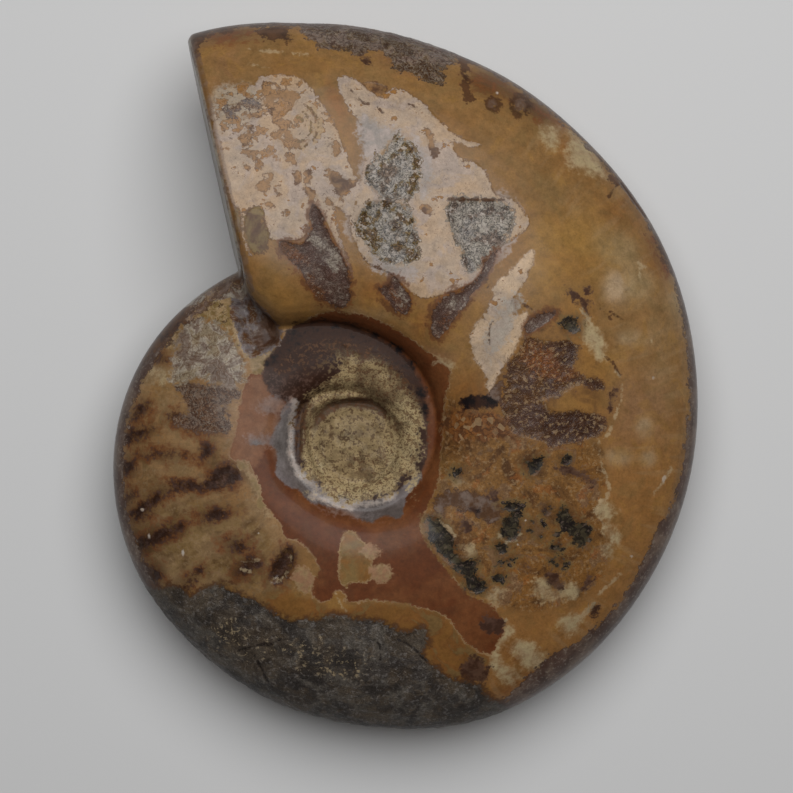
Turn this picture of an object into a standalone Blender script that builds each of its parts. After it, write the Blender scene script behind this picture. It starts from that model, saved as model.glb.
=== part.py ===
"""A polished fossil ammonite that lies on one flank, at its real size.

The shell is one solid. Its coil is a single tube that is drawn through sections, nearly three whorls long,
and each whorl is sunk into the one inside it, so that only the umbilicus shows the inner two. The coil
leans a little, because the whorl is thickest at the mouth, and it is ground flat where it touches the
surface.

Metres, +Z up. The origin is under the middle of the shell, on the surface it lies on.
"""

from math import cos, pi, radians, sin, sqrt, tan

import bmesh
import bpy
from mathutils import Matrix, Vector, noise

MM = 0.001

# Driving dimensions of the coil. A station is a place along the whorl, counted in degrees back from the
# mouth. It holds, in mm, the radius of the outer edge, the radius of the umbilical edge and the half
# thickness, and in degrees how far the umbilical edge runs ahead of the outer edge.
STATIONS = (
    # turn, outer, umbilical, half thickness, lead
    (0, 60.6, 26.9, 14.2, 13.0),
    (5, 59.9, 23.6, 14.2, 20.5),
    (10, 59.0, 21.2, 14.2, 25.0),
    (15, 58.0, 18.8, 14.2, 28.0),
    (20, 57.4, 17.6, 14.1, 26.0),
    (27, 56.4, 16.3, 14.0, 20.0),
    (35, 55.2, 14.9, 13.8, 15.0),
    (45, 54.0, 13.7, 13.6, 10.0),
    (60, 52.0, 12.4, 13.2, 4.5),
    (80, 50.1, 11.0, 12.8, 1.0),
    (100, 48.1, 10.0, 12.4, 0.0),
    (120, 46.6, 9.4, 12.0, 0.0),
    (140, 45.3, 9.1, 11.7, 0.0),
    (160, 44.4, 9.1, 11.5, 0.0),
    (180, 43.3, 9.2, 11.3, 0.0),
    (200, 40.9, 9.1, 11.0, 0.0),
    (220, 39.2, 8.9, 10.7, 0.0),
    (240, 37.6, 8.9, 10.4, 0.0),
    (260, 36.6, 9.2, 10.1, 0.0),
    (280, 35.2, 9.1, 9.9, 0.0),
    (300, 33.5, 9.0, 9.7, 0.0),
    (320, 31.5, 8.7, 9.4, 0.0),
    (340, 29.3, 8.0, 9.1, 0.0),
    (360, 27.6, 6.7, 8.9, 0.0),
    (400, 25.0, 5.3, 8.6, 0.0),
    (460, 22.0, 4.5, 8.1, 0.0),
    (520, 20.0, 4.9, 7.7, 0.0),
    (580, 18.0, 5.6, 7.4, 0.0),
    (640, 15.8, 5.5, 7.2, 0.0),
    (700, 13.0, 4.2, 7.0, 0.0),
    (760, 10.6, 2.4, 6.7, 0.0),
    (840, 8.6, 1.7, 6.5, 0.0),
    (920, 7.0, 1.2, 6.3, 0.0),
    (1000, 5.6, 0.8, 6.1, 0.0),
)
MOUTH_DIRECTION = radians(112.5)  # from the coil's centre to the mouth's corner, anticlockwise from +X
COIL_CENTRE = Vector((-6.4 * MM, -8.23 * MM, 0.0))  # in plan

# The cross-section of a whorl, as shares of its height and half thickness
WIDEST_AT = 0.26  # where the flank is thickest, from the umbilical edge
WALL_FOOT = 0.28  # how high the umbilical wall starts
SHOULDER_POWER = 3.0
SHOULDER_ROUND = 0.42
FLANK_POWER = 1.9
UNEVENNESS = 0.035  # how far the flanks swell and sink, as a share of the half thickness
UNEVEN_SPAN = 14 * MM

# How finely the coil is divided
LAST_TURN = 1000.0
COIL_STEPS = 140
STEP_GROWTH = 1.15  # the steps get longer towards the middle
WALL_STEPS = 7
WALL_CROWDING = 2.2  # how much closer the steps lie at the foot of the umbilical wall
FLANK_STEPS = 9

# The mouth is a flat cut that leans out at the bottom, with a rounded lip
MOUTH_LEAN = tan(radians(3.5))
LEAN_ENDS_AT = 45.0
LIP_ROUND = 0.7 * MM

# The pose at rest and the ground spot under it
REST_TILT = radians(3.4)
REST_TILT_DIRECTION = radians(107.0)  # the side of the coil that the tilt lifts
MID_HEIGHT = 12.2 * MM
GROUND_BLOCK = Vector((200 * MM, 200 * MM, 20 * MM))

# Hollows in the upper flank: the broken one where the mouth meets the whorl inside it, three that are
# lined with small crystals and a narrow one below the umbilicus. Each holds, in mm, its place from the
# coil's centre and its half size, and in degrees how far it is turned.
HOLLOWS = {
    "broken_corner": ((-15.0, 15.3, 21.9), (4.0, 5.2, 2.5), 35.0),
    "upper_druse": ((5.1, 37.2, 27.4), (4.2, 6.0, 1.4), -12.0),
    "lower_druse": ((3.6, 28.0, 28.1), (4.6, 4.8, 1.4), 20.0),
    "right_druse": ((16.5, 29.0, 26.7), (4.0, 5.2, 1.4), -25.0),
    "leaf_cavity": ((-11.0, -18.2, 21.9), (1.7, 2.9, 1.2), -30.0),
}
HOLLOW_ROUGHNESS = 0.22
LUMPINESS = 2.3  # how many lumps go across a rough surface

# The grit in the middle of the umbilicus
FILL_HALF_SIZE = Vector((6.5 * MM, 6.5 * MM, 6.9 * MM))
FILL_ROUGHNESS = 0.1

SHELL_COLOUR = (0.23, 0.12, 0.045, 1.0)
SHELL_ROUGHNESS = 0.28
SHARP_EDGE = radians(35.0)


def station(turn):
    """The coil's sizes at a turn, on a smooth curve through the stations: outer radius, umbilical radius,
    half thickness and lead, in metres and radians."""
    turns = [row[0] for row in STATIONS]
    last = len(turns) - 2
    here = min(max(sum(t <= turn for t in turns) - 1, 0), last)
    span = turns[here + 1] - turns[here]
    share = (turn - turns[here]) / span
    values = []
    for column in range(1, 5):
        before, start, end, after = (STATIONS[min(max(here + k, 0), last + 1)] for k in (-1, 0, 1, 2))
        slope_in = (end[column] - before[column]) / (end[0] - before[0])
        slope_out = (after[column] - start[column]) / (after[0] - start[0])
        values.append(
            start[column] * (1 + 2 * share) * (1 - share) ** 2
            + end[column] * share**2 * (3 - 2 * share)
            + span * slope_in * share * (1 - share) ** 2
            - span * slope_out * share**2 * (1 - share)
        )
    outer, umbilical, half_thickness, lead = values
    return outer * MM, umbilical * MM, half_thickness * MM, radians(lead)


def section_height(across):
    """The height of a whorl's section, as a share of its half thickness, from 0 at the umbilical edge to 1
    at the outer edge."""
    if across < WIDEST_AT:
        inward = 1 - across / WIDEST_AT
        return WALL_FOOT + (1 - WALL_FOOT) * (1 - inward**SHOULDER_POWER) ** SHOULDER_ROUND
    outward = min((across - WIDEST_AT) / (1 - WIDEST_AT), 1.0)
    return sqrt(max(1 - outward**FLANK_POWER, 0.0))


def section_steps():
    """Places across the section, close together at the umbilical wall and at the outer edge."""
    wall = [WIDEST_AT * (k / WALL_STEPS) ** WALL_CROWDING for k in range(WALL_STEPS)]
    flank = [WIDEST_AT + (1 - WIDEST_AT) * sin(pi / 2 * k / FLANK_STEPS) for k in range(FLANK_STEPS + 1)]
    return wall + flank


def section(turn, inset=0.0):
    """One closed ring of the whorl: over the upper flank, round the outer edge and back below."""
    outer, umbilical, half_thickness, lead = station(turn)
    direction = MOUTH_DIRECTION - radians(turn)
    edge = Vector((cos(direction), sin(direction), 0.0)) * outer
    seam = Vector((cos(direction + lead), sin(direction + lead), 0.0)) * umbilical
    height = (edge - seam).length
    along = (edge - seam) / height
    ahead = Vector((-along.y, along.x, 0.0))
    lean = MOUTH_LEAN * max(0.0, 1 - turn / LEAN_ENDS_AT) ** 2
    half = section_steps()
    ring = []
    for side, places in ((1, half), (-1, half[-2::-1])):
        for across in places:
            plan = seam + along * (inset + across * (height - 2 * inset))
            swell = noise.noise((plan + Vector((0.0, 0.0, side * UNEVEN_SPAN))) / UNEVEN_SPAN)
            rise = side * section_height(across) * (half_thickness - inset) * (1 + UNEVENNESS * swell)
            ring.append(plan + ahead * lean * (half_thickness - rise) + Vector((0.0, 0.0, rise)))
    return ring, ahead


def finish(name, bm, matrix):
    """Turns a bmesh into an object with the shell's material and smooth shading."""
    bmesh.ops.recalc_face_normals(bm, faces=bm.faces)
    mesh = bpy.data.meshes.new(name)
    bm.to_mesh(mesh)
    bm.free()
    mesh.shade_smooth()
    mesh.set_sharp_from_angle(angle=SHARP_EDGE)
    shape = bpy.data.objects.new(name, mesh)
    shape.matrix_world = matrix
    shape.data.materials.append(shell_material())
    bpy.context.scene.collection.objects.link(shape)
    return shape


def shell_material():
    """Polished brown calcite."""
    material = bpy.data.materials.get("polished_shell")
    if material is None:
        material = bpy.data.materials.new("polished_shell")
        material.use_nodes = True
        shader = material.node_tree.nodes["Principled BSDF"]
        shader.inputs["Base Color"].default_value = SHELL_COLOUR
        shader.inputs["Roughness"].default_value = SHELL_ROUGHNESS
        shader.inputs["Metallic"].default_value = 0.0
    return material


def coil(name, matrix):
    """The whole coil, closed at both ends, with the lip of the mouth rounded."""
    flat_mouth, _ = section(0.0, inset=LIP_ROUND)
    bm = bmesh.new()
    cap = bm.faces.new([bm.verts.new(p) for p in flat_mouth])
    mouth_edges = list(cap.edges)
    for k in range(COIL_STEPS + 1):
        turn = LAST_TURN * (k / COIL_STEPS) ** STEP_GROWTH
        ring, ahead = section(turn)
        if k == 0:
            ring = [p - ahead * LIP_ROUND for p in ring]
        cap = bmesh.ops.extrude_discrete_faces(bm, faces=[cap])["faces"][0]
        for vert, place in zip(cap.verts, ring):
            vert.co = place
    bmesh.ops.holes_fill(bm, edges=mouth_edges)
    return finish(name, bm, matrix)


def as_tool(shape):
    """Marks a shape that only joins or cuts the shell."""
    shape.hide_render = True
    shape.display_type = "WIRE"
    return shape


def hollow_cutter(name, centre, half_size, turned):
    """A rough lump that bites one hollow out of the flank."""
    bm = bmesh.new()
    bmesh.ops.create_icosphere(bm, subdivisions=2, radius=1.0)
    for vert in bm.verts:
        vert.co *= 1 + HOLLOW_ROUGHNESS * noise.noise(vert.co * LUMPINESS + Vector(centre))
        vert.co = Vector(a * b * MM for a, b in zip(vert.co, half_size))
    place = COIL_CENTRE + Vector(centre) * MM
    matrix = Matrix.LocRotScale(place, Matrix.Rotation(radians(turned), 3, "Z"), None)
    return as_tool(finish(f"{name}_cutter", bm, matrix))


def umbilical_fill(matrix):
    """The rough grit that fills the middle of the umbilicus on both flanks."""
    bm = bmesh.new()
    bmesh.ops.create_icosphere(bm, subdivisions=3, radius=1.0)
    for vert in bm.verts:
        vert.co *= 1 + FILL_ROUGHNESS * noise.noise(vert.co * LUMPINESS)
        vert.co = Vector(a * b for a, b in zip(vert.co, FILL_HALF_SIZE))
    return as_tool(finish("umbilical_fill", bm, matrix))


def ground_cutter():
    """A block below the surface, which takes the lowest part of the flank off flat."""
    bm = bmesh.new()
    bmesh.ops.create_cube(bm, size=1.0)
    bmesh.ops.scale(bm, vec=GROUND_BLOCK, verts=bm.verts)
    return as_tool(finish("ground_cutter", bm, Matrix.Translation((0.0, 0.0, -GROUND_BLOCK.z / 2))))


def combine(shape, tool, operation, overlaps_itself=False):
    """Adds one Boolean to the shell."""
    modifier = shape.modifiers.new(f"{operation.lower()}_{tool.name}", "BOOLEAN")
    modifier.operation = operation
    modifier.object = tool
    modifier.solver = "EXACT"
    modifier.use_self = overlaps_itself


def rest_matrix():
    """The coil's place: its middle plane leans towards the thin side, over the coil's centre."""
    axis = Vector((-sin(REST_TILT_DIRECTION), cos(REST_TILT_DIRECTION), 0.0))
    place = COIL_CENTRE + Vector((0.0, 0.0, MID_HEIGHT))
    return Matrix.Translation(place) @ Matrix.Rotation(-REST_TILT, 4, axis)


def main():
    for old in list(bpy.data.objects):
        bpy.data.objects.remove(old)
    rest = rest_matrix()
    shell = coil("ammonite", rest)
    combine(shell, umbilical_fill(rest), "UNION", overlaps_itself=True)
    for hollow, (centre, half_size, turned) in HOLLOWS.items():
        combine(shell, hollow_cutter(hollow, centre, half_size, turned), "DIFFERENCE")
    combine(shell, ground_cutter(), "DIFFERENCE")


main()
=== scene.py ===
"""A polished fossil ammonite that lies on one flank, dressed and seen from straight above.

The shell is one piece. Its coil is modelled from the same sizes as the solid it stands for, closed and made
even by a remesh, and then worked over as a sculptor would: hollows lined with small crystals, the broken
corner by the mouth, the grit in the umbilicus and the rough stone along one side. The markings are drawn as
outlines where the photograph shows them, and the finish turns the distance to an outline into its edge.

Metres, +Z up. Photo pixels run right and down in a 793 by 793 frame.
"""

import logging
from dataclasses import dataclass, field
from enum import Enum
from math import cos, pi, radians, sin, sqrt, tan
from typing import Callable, Optional, Union

import bmesh
import bpy
import numpy as np
from mathutils import Matrix, Vector, noise


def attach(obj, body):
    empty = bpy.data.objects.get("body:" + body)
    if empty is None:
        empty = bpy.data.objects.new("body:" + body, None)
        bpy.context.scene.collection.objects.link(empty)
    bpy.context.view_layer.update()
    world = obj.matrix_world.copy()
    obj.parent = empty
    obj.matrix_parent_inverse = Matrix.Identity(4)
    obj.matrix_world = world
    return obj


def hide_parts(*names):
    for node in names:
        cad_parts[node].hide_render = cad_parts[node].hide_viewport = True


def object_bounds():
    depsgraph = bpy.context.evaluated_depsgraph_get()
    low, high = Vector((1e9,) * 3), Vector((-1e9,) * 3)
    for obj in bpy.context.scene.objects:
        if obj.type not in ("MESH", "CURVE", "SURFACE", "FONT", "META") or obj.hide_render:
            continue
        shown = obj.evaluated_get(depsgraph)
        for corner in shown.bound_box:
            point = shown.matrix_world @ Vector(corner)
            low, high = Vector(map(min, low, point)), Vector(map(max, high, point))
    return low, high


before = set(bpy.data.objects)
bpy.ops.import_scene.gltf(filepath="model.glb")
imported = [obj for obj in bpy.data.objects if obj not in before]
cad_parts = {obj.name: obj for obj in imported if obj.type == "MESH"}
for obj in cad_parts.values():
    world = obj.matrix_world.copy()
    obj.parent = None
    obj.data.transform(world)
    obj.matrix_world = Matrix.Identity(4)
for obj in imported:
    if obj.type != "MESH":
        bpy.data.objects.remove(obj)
CAD_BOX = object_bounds()

log = logging.getLogger("ammonite")
MM = 0.001
Array = np.ndarray
Points = tuple[tuple[float, float], ...]


@dataclass(frozen=True)
class PhotoFrame:
    """The photograph's frame, for a camera that looks straight down on the coil.

    Args:
        coil_centre: The coil's centre in plan.
        coil_pixel: The same point in the photograph.
        metres_per_pixel: The scale at scale_height.
        scale_height: The height at which the scale holds.
        distance: From the camera down to that height.
        side: The frame's width in pixels.
    """

    coil_centre: tuple[float, float] = (-6.4 * MM, -8.23 * MM)
    coil_pixel: tuple[float, float] = (360.0, 437.0)
    metres_per_pixel: float = 0.14 * MM
    scale_height: float = 12.0 * MM
    distance: float = 380.0 * MM
    side: float = 793.0

    def centre(self) -> Vector:
        """Finds what the frame's middle looks at.

        Returns:
            Its place.
        """
        half = self.side / 2
        x = self.coil_centre[0] + (half - self.coil_pixel[0]) * self.metres_per_pixel
        y = self.coil_centre[1] + (self.coil_pixel[1] - half) * self.metres_per_pixel
        return Vector((x, y, self.scale_height))

    def pixels(self, places: Array) -> Array:
        """Finds where places appear in the photograph.

        Args:
            places: Points in metres, one a row.

        Returns:
            Pixel x and y, one a row.
        """
        centre = self.centre()
        nearness = self.distance / (self.distance - (places[:, 2] - self.scale_height))
        right = self.side / 2 + (places[:, 0] - centre.x) * nearness / self.metres_per_pixel
        down = self.side / 2 - (places[:, 1] - centre.y) * nearness / self.metres_per_pixel
        return np.stack((right, down), axis=1)


@dataclass(frozen=True)
class Section:
    """The cross-section of a whorl, as shares of its height and half thickness."""

    widest_at: float = 0.26
    wall_foot: float = 0.28
    shoulder_power: float = 3.0
    shoulder_round: float = 0.42
    flank_power: float = 1.9
    wall_steps: int = 12
    wall_crowding: float = 2.2
    flank_steps: int = 18

    def height(self, across: float) -> float:
        """Works out the section's height.

        Args:
            across: The share of the way from the umbilical edge to the outer one.

        Returns:
            The height there.
        """
        if across < self.widest_at:
            inward = 1 - across / self.widest_at
            rise = (1 - inward**self.shoulder_power) ** self.shoulder_round
            return self.wall_foot + (1 - self.wall_foot) * rise
        outward = min((across - self.widest_at) / (1 - self.widest_at), 1.0)
        return sqrt(max(1 - outward**self.flank_power, 0.0))

    def ring(self) -> list[Vector]:
        """Draws the section.

        Returns:
            Points over the upper flank, round the outer edge and back below.
        """
        wall = [self.widest_at * (k / self.wall_steps) ** self.wall_crowding for k in range(self.wall_steps)]
        span = 1 - self.widest_at
        quarters = (pi / 2 * k / self.flank_steps for k in range(self.flank_steps + 1))
        flank = [self.widest_at + span * sin(quarter) for quarter in quarters]
        half = wall + flank
        upper = [Vector((across, 0.0, self.height(across))) for across in half]
        lower = [Vector((across, 0.0, -self.height(across))) for across in half[-2::-1]]
        return upper + lower


# The coil's stations: degrees back from the mouth, then in mm the radius of the outer edge, the radius of
# the umbilical edge and the half thickness, then in degrees how far the umbilical edge runs ahead.
STATIONS = (
    (0, 60.6, 26.9, 14.2, 13),
    (5, 59.9, 23.6, 14.2, 20.5),
    (10, 59, 21.2, 14.2, 25),
    (15, 58, 18.8, 14.2, 28),
    (20, 57.4, 17.6, 14.1, 26),
    (27, 56.4, 16.3, 14, 20),
    (35, 55.2, 14.9, 13.8, 15),
    (45, 54, 13.7, 13.6, 10),
    (60, 52, 12.4, 13.2, 4.5),
    (80, 50.1, 11, 12.8, 1),
    (100, 48.1, 10, 12.4, 0),
    (120, 46.6, 9.4, 12, 0),
    (140, 45.3, 9.1, 11.7, 0),
    (160, 44.4, 9.1, 11.5, 0),
    (180, 43.3, 9.2, 11.3, 0),
    (200, 40.9, 9.1, 11, 0),
    (220, 39.2, 8.9, 10.7, 0),
    (240, 37.6, 8.9, 10.4, 0),
    (260, 36.6, 9.2, 10.1, 0),
    (280, 35.2, 9.1, 9.9, 0),
    (300, 33.5, 9, 9.7, 0),
    (320, 31.5, 8.7, 9.4, 0),
    (340, 29.3, 8, 9.1, 0),
    (360, 27.6, 6.7, 8.9, 0),
    (400, 25, 5.3, 8.6, 0),
    (460, 22, 4.5, 8.1, 0),
    (520, 20, 4.9, 7.7, 0),
    (580, 18, 5.6, 7.4, 0),
    (640, 15.8, 5.5, 7.2, 0),
    (700, 13, 4.2, 7, 0),
    (760, 10.6, 2.4, 6.7, 0),
    (840, 8.6, 1.7, 6.5, 0),
    (920, 7, 1.2, 6.3, 0),
    (1000, 5.6, 0.8, 6.1, 0),
)


@dataclass(frozen=True)
class Coil:
    """The shell's coil in its own frame: its centre at the origin and its middle plane level.

    Args:
        mouth_direction: From the centre to the mouth's corner, anticlockwise from +X.
        mouth_lean: How far the mouth's cut leans out towards the bottom, as a slope.
        lean_ends_at: The turn at which that lean has died out, in degrees.
        lip_round: How far the mouth's edge is rounded.
        last_turn: Where the coil ends in the middle of the umbilicus, in degrees.
        steps: How many times the section is extruded.
        step_growth: How much longer the steps get towards the middle.
        fill_half_size: The half size of the grit in the middle of the umbilicus.
        fill_detail: How often that grit's facets are divided.
        unevenness: How far the flanks swell and sink, as a share of their height.
        uneven_span: From one swelling to the next.
    """

    mouth_direction: float = radians(112.5)
    mouth_lean: float = tan(radians(3.5))
    lean_ends_at: float = 45.0
    lip_round: float = 0.7 * MM
    last_turn: float = 1000.0
    steps: int = 300
    step_growth: float = 1.15
    fill_half_size: tuple[float, float, float] = (6.5 * MM, 6.5 * MM, 6.9 * MM)
    fill_detail: int = 5
    unevenness: float = 0.035
    uneven_span: float = 14.0 * MM
    section: Section = field(default_factory=Section)

    def station(self, turn: float) -> tuple[float, float, float, float]:
        """Finds the coil's sizes at a turn, on a smooth curve through the stations.

        Args:
            turn: Degrees back from the mouth.

        Returns:
            Outer radius, umbilical radius, half thickness and lead, in metres and radians.
        """
        last = len(STATIONS) - 2
        here = min(max(sum(row[0] <= turn for row in STATIONS) - 1, 0), last)
        rows = (STATIONS[min(max(here + k, 0), last + 1)] for k in (-1, 0, 1, 2))
        before, start, end, after = (np.array(row, dtype=float) for row in rows)
        span = end[0] - start[0]
        share = (turn - start[0]) / span
        slope_in = (end - before) / (end[0] - before[0])
        slope_out = (after - start) / (after[0] - start[0])
        values = (
            start * (1 + 2 * share) * (1 - share) ** 2
            + end * share**2 * (3 - 2 * share)
            + span * slope_in * share * (1 - share) ** 2
            - span * slope_out * share**2 * (1 - share)
        )
        return values[1] * MM, values[2] * MM, values[3] * MM, radians(values[4])

    def place(self, turn: float) -> Matrix:
        """Puts the unit section in its place.

        Args:
            turn: Degrees back from the mouth.

        Returns:
            The matrix that does it.
        """
        outer, umbilical, half_thickness, lead = self.station(turn)
        direction = self.mouth_direction - radians(turn)
        edge = Vector((cos(direction), sin(direction), 0.0)) * outer
        seam = Vector((cos(direction + lead), sin(direction + lead), 0.0)) * umbilical
        across = edge - seam
        along = across.normalized()
        ahead = Vector((-along.y, along.x, 0.0))
        lean = ahead * self.mouth_lean * max(0.0, 1 - turn / self.lean_ends_at) ** 2 * half_thickness
        rise = Vector((0.0, 0.0, half_thickness)) - lean
        origin = seam + lean
        columns = (across, ahead, rise, origin)
        return Matrix([[column[row] for column in columns] for row in range(3)] + [[0.0, 0.0, 0.0, 1.0]])

    def stages(self) -> list[Matrix]:
        """Lists the section's places in order.

        Returns:
            Their matrices: the rounded mouth's, then along the coil.
        """
        outer, umbilical, half_thickness, _ = self.station(0.0)
        mouth = self.place(0.0)
        inset = self.lip_round / (outer - umbilical)
        shrink = Matrix.Diagonal((1 - 2 * inset, 1.0, 1 - self.lip_round / half_thickness, 1.0))
        lip = mouth @ Matrix.Translation((inset, 0.0, 0.0)) @ shrink
        back = mouth @ Matrix.Translation((0.0, -self.lip_round, 0.0))
        turns = (self.last_turn * (k / self.steps) ** self.step_growth for k in range(1, self.steps + 1))
        return [lip, back] + [self.place(turn) for turn in turns]

    def outer_radius(self, directions: Array) -> Array:
        """Finds the last whorl's outer radius.

        Args:
            directions: Angles in plan from +X, in radians.

        Returns:
            A radius for each.
        """
        turns = np.arange(360.0)
        radii = np.array([self.station(turn)[0] for turn in turns])
        return np.interp(np.degrees((self.mouth_direction - directions) % (2 * pi)), turns, radii)

    def build(self) -> bpy.types.Object:
        """Extrudes the coil and puts the umbilical grit in its middle.

        Returns:
            One object of two shells that overlap.
        """
        bpy.ops.object.select_all(action="DESELECT")
        ring = self.section.ring()
        stages = self.stages()
        bpy.ops.mesh.primitive_circle_add(vertices=len(ring), radius=1.0, fill_type="NGON")
        coil = bpy.context.object
        for vert, point in zip(coil.data.vertices, ring):
            vert.co = stages[0] @ point
        bpy.ops.object.mode_set(mode="EDIT")
        bpy.ops.mesh.select_all(action="SELECT")
        cap = bmesh.from_edit_mesh(coil.data)
        for before, after in zip(stages, stages[1:]):
            bpy.ops.mesh.extrude_region_move()
            step = after @ before.inverted()
            bmesh.ops.transform(cap, matrix=step, verts=[vert for vert in cap.verts if vert.select])
        mouth = [edge for edge in cap.edges if edge.is_boundary]
        bmesh.ops.holes_fill(cap, edges=mouth)
        bmesh.update_edit_mesh(coil.data)
        bpy.ops.mesh.select_all(action="SELECT")
        bpy.ops.mesh.normals_make_consistent()
        bpy.ops.object.mode_set(mode="OBJECT")
        sizes = {"subdivisions": self.fill_detail, "radius": 1.0, "scale": self.fill_half_size}
        bpy.ops.mesh.primitive_ico_sphere_add(**sizes)
        coil.select_set(True)
        bpy.context.view_layer.objects.active = coil
        bpy.ops.object.join()
        return bpy.context.object


CORNER_CUT = 0.25  # how much of a side is cut off at each of its ends
SHORTEST = 1e-9  # what a stretch of no length counts as


def rounded(outline: Points, closed: bool = True, rounds: int = 2) -> Array:
    """Cuts an outline's corners.

    Args:
        outline: Its points.
        closed: Whether its end meets its start.
        rounds: How many times every corner is cut.

    Returns:
        The smoother outline, one point a row.
    """
    points = np.array(outline, dtype=float)
    for _ in range(rounds):
        after = np.roll(points, -1, axis=0)
        near, far = 1 - CORNER_CUT, CORNER_CUT
        cut = np.stack((near * points + far * after, far * points + near * after), axis=1).reshape(-1, 2)
        points = cut if closed else np.vstack((points[:1], cut[:-2], points[-1:]))
    return points


def nearest_gap(pixels: Array, start: Array, end: Array) -> Array:
    """Measures how far places are from a line.

    Args:
        pixels: Places in photo pixels, one a row.
        start: Where each of the line's stretches starts.
        end: Where each ends.

    Returns:
        The way to the nearest stretch, for each place.
    """
    run = end - start
    length = np.maximum((run**2).sum(axis=1), SHORTEST)
    gap = np.full(len(pixels), np.inf)
    for k in range(len(start)):
        offset = pixels - start[k]
        along = np.clip(offset @ run[k] / length[k], 0.0, 1.0)
        gap = np.minimum(gap, ((offset - along[:, None] * run[k]) ** 2).sum(axis=1))
    return np.sqrt(gap)


def is_inside(pixels: Array, outline: Array) -> Array:
    """Finds which places lie inside an outline.

    Args:
        pixels: Places in photo pixels, one a row.
        outline: The closed outline's points.

    Returns:
        True or false for each.
    """
    inside = np.zeros(len(pixels), dtype=bool)
    for start, end in zip(outline, np.roll(outline, -1, axis=0)):
        if start[1] == end[1]:
            continue
        spans = (start[1] > pixels[:, 1]) != (end[1] > pixels[:, 1])
        crossing = start[0] + (end[0] - start[0]) * (pixels[:, 1] - start[1]) / (end[1] - start[1])
        inside ^= spans & (pixels[:, 0] < crossing)
    return inside


def from_the_middle(
    pixels: Array, x: float, y: float, length: float, width: float, turn: float
) -> Array:
    """Measures how far places lie from the middle of an ellipse.

    Args:
        pixels: Places in photo pixels, one a row.
        x: How far right its middle lies.
        y: How far down its middle lies.
        length: Its half length.
        width: Its half width.
        turn: How far it is turned, in degrees.

    Returns:
        The share of the way to its edge, for each.
    """
    c, s = cos(radians(turn)), sin(radians(turn))
    offset = pixels - (x, y)
    along = (offset[:, 0] * c + offset[:, 1] * s) / length
    aside = (offset[:, 1] * c - offset[:, 0] * s) / width
    return np.hypot(along, aside)


@dataclass(frozen=True)
class Marking:
    """One kind of mark on the flank, drawn in photo pixels.

    Args:
        outlines: Closed outlines of where it shows.
        islands: Closed outlines of where it doesn't, inside the others.
        blots: Round spots, each with its x, y, half length, half width and turn in degrees.
        strokes: Lines, each with its half width and its points.
    """

    outlines: tuple[Points, ...] = ()
    islands: tuple[Points, ...] = ()
    blots: tuple[tuple[float, float, float, float, float], ...] = ()
    strokes: tuple[tuple[float, Points], ...] = ()

    REACH = 26.0  # the depth is only worked out this near an edge

    def _within(self, pixels: Array, line: Points, half_width: Optional[float] = None) -> Array:
        """Works out how deep places lie inside one outline or stroke.

        Args:
            pixels: Places in photo pixels, one a row.
            line: Its points.
            half_width: Half the width of a stroke. A closed outline has none.

        Returns:
            The depth of each in pixels, less than zero outside.
        """
        closed = half_width is None
        points = rounded(line, closed)
        low, high = points.min(axis=0) - self.REACH, points.max(axis=0) + self.REACH
        near = np.flatnonzero(((pixels > low) & (pixels < high)).all(axis=1))
        if closed:
            gap = nearest_gap(pixels[near], points, np.roll(points, -1, axis=0))
            inner = np.where(is_inside(pixels[near], points), gap, -gap)
        else:
            inner = half_width - nearest_gap(pixels[near], points[:-1], points[1:])
        depth = np.full(len(pixels), -self.REACH)
        depth[near] = np.clip(inner, -self.REACH, self.REACH)
        return depth

    def depth(self, pixels: Array) -> Array:
        """Works out how deep places lie inside the mark.

        Args:
            pixels: Places in photo pixels, one a row.

        Returns:
            The depth of each in pixels, less than zero outside the mark.
        """
        depth = np.full(len(pixels), -self.REACH)
        for outline in self.outlines:
            depth = np.maximum(depth, self._within(pixels, outline))
        for island in self.islands:
            depth = np.minimum(depth, -self._within(pixels, island))
        for x, y, length, width, turn in self.blots:
            inward = 1 - from_the_middle(pixels, x, y, length, width, turn)
            depth = np.maximum(depth, inward * min(length, width))
        for half_width, line in self.strokes:
            depth = np.maximum(depth, self._within(pixels, line, half_width))
        return depth


@dataclass
class Surface:
    """The shell's points while it is worked over: where they are, which way they face, what they show.

    Args:
        places: Points in metres.
        normals: Which way the surface faces at each.
        local: The same points in the coil's own frame.
        pixels: Where each point's marks are looked up in the photograph.
        depths: How deep each point lies in each mark, in pixels.
    """

    places: Array
    normals: Array
    local: Array
    pixels: Array
    depths: dict[str, Array] = field(default_factory=dict)


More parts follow.
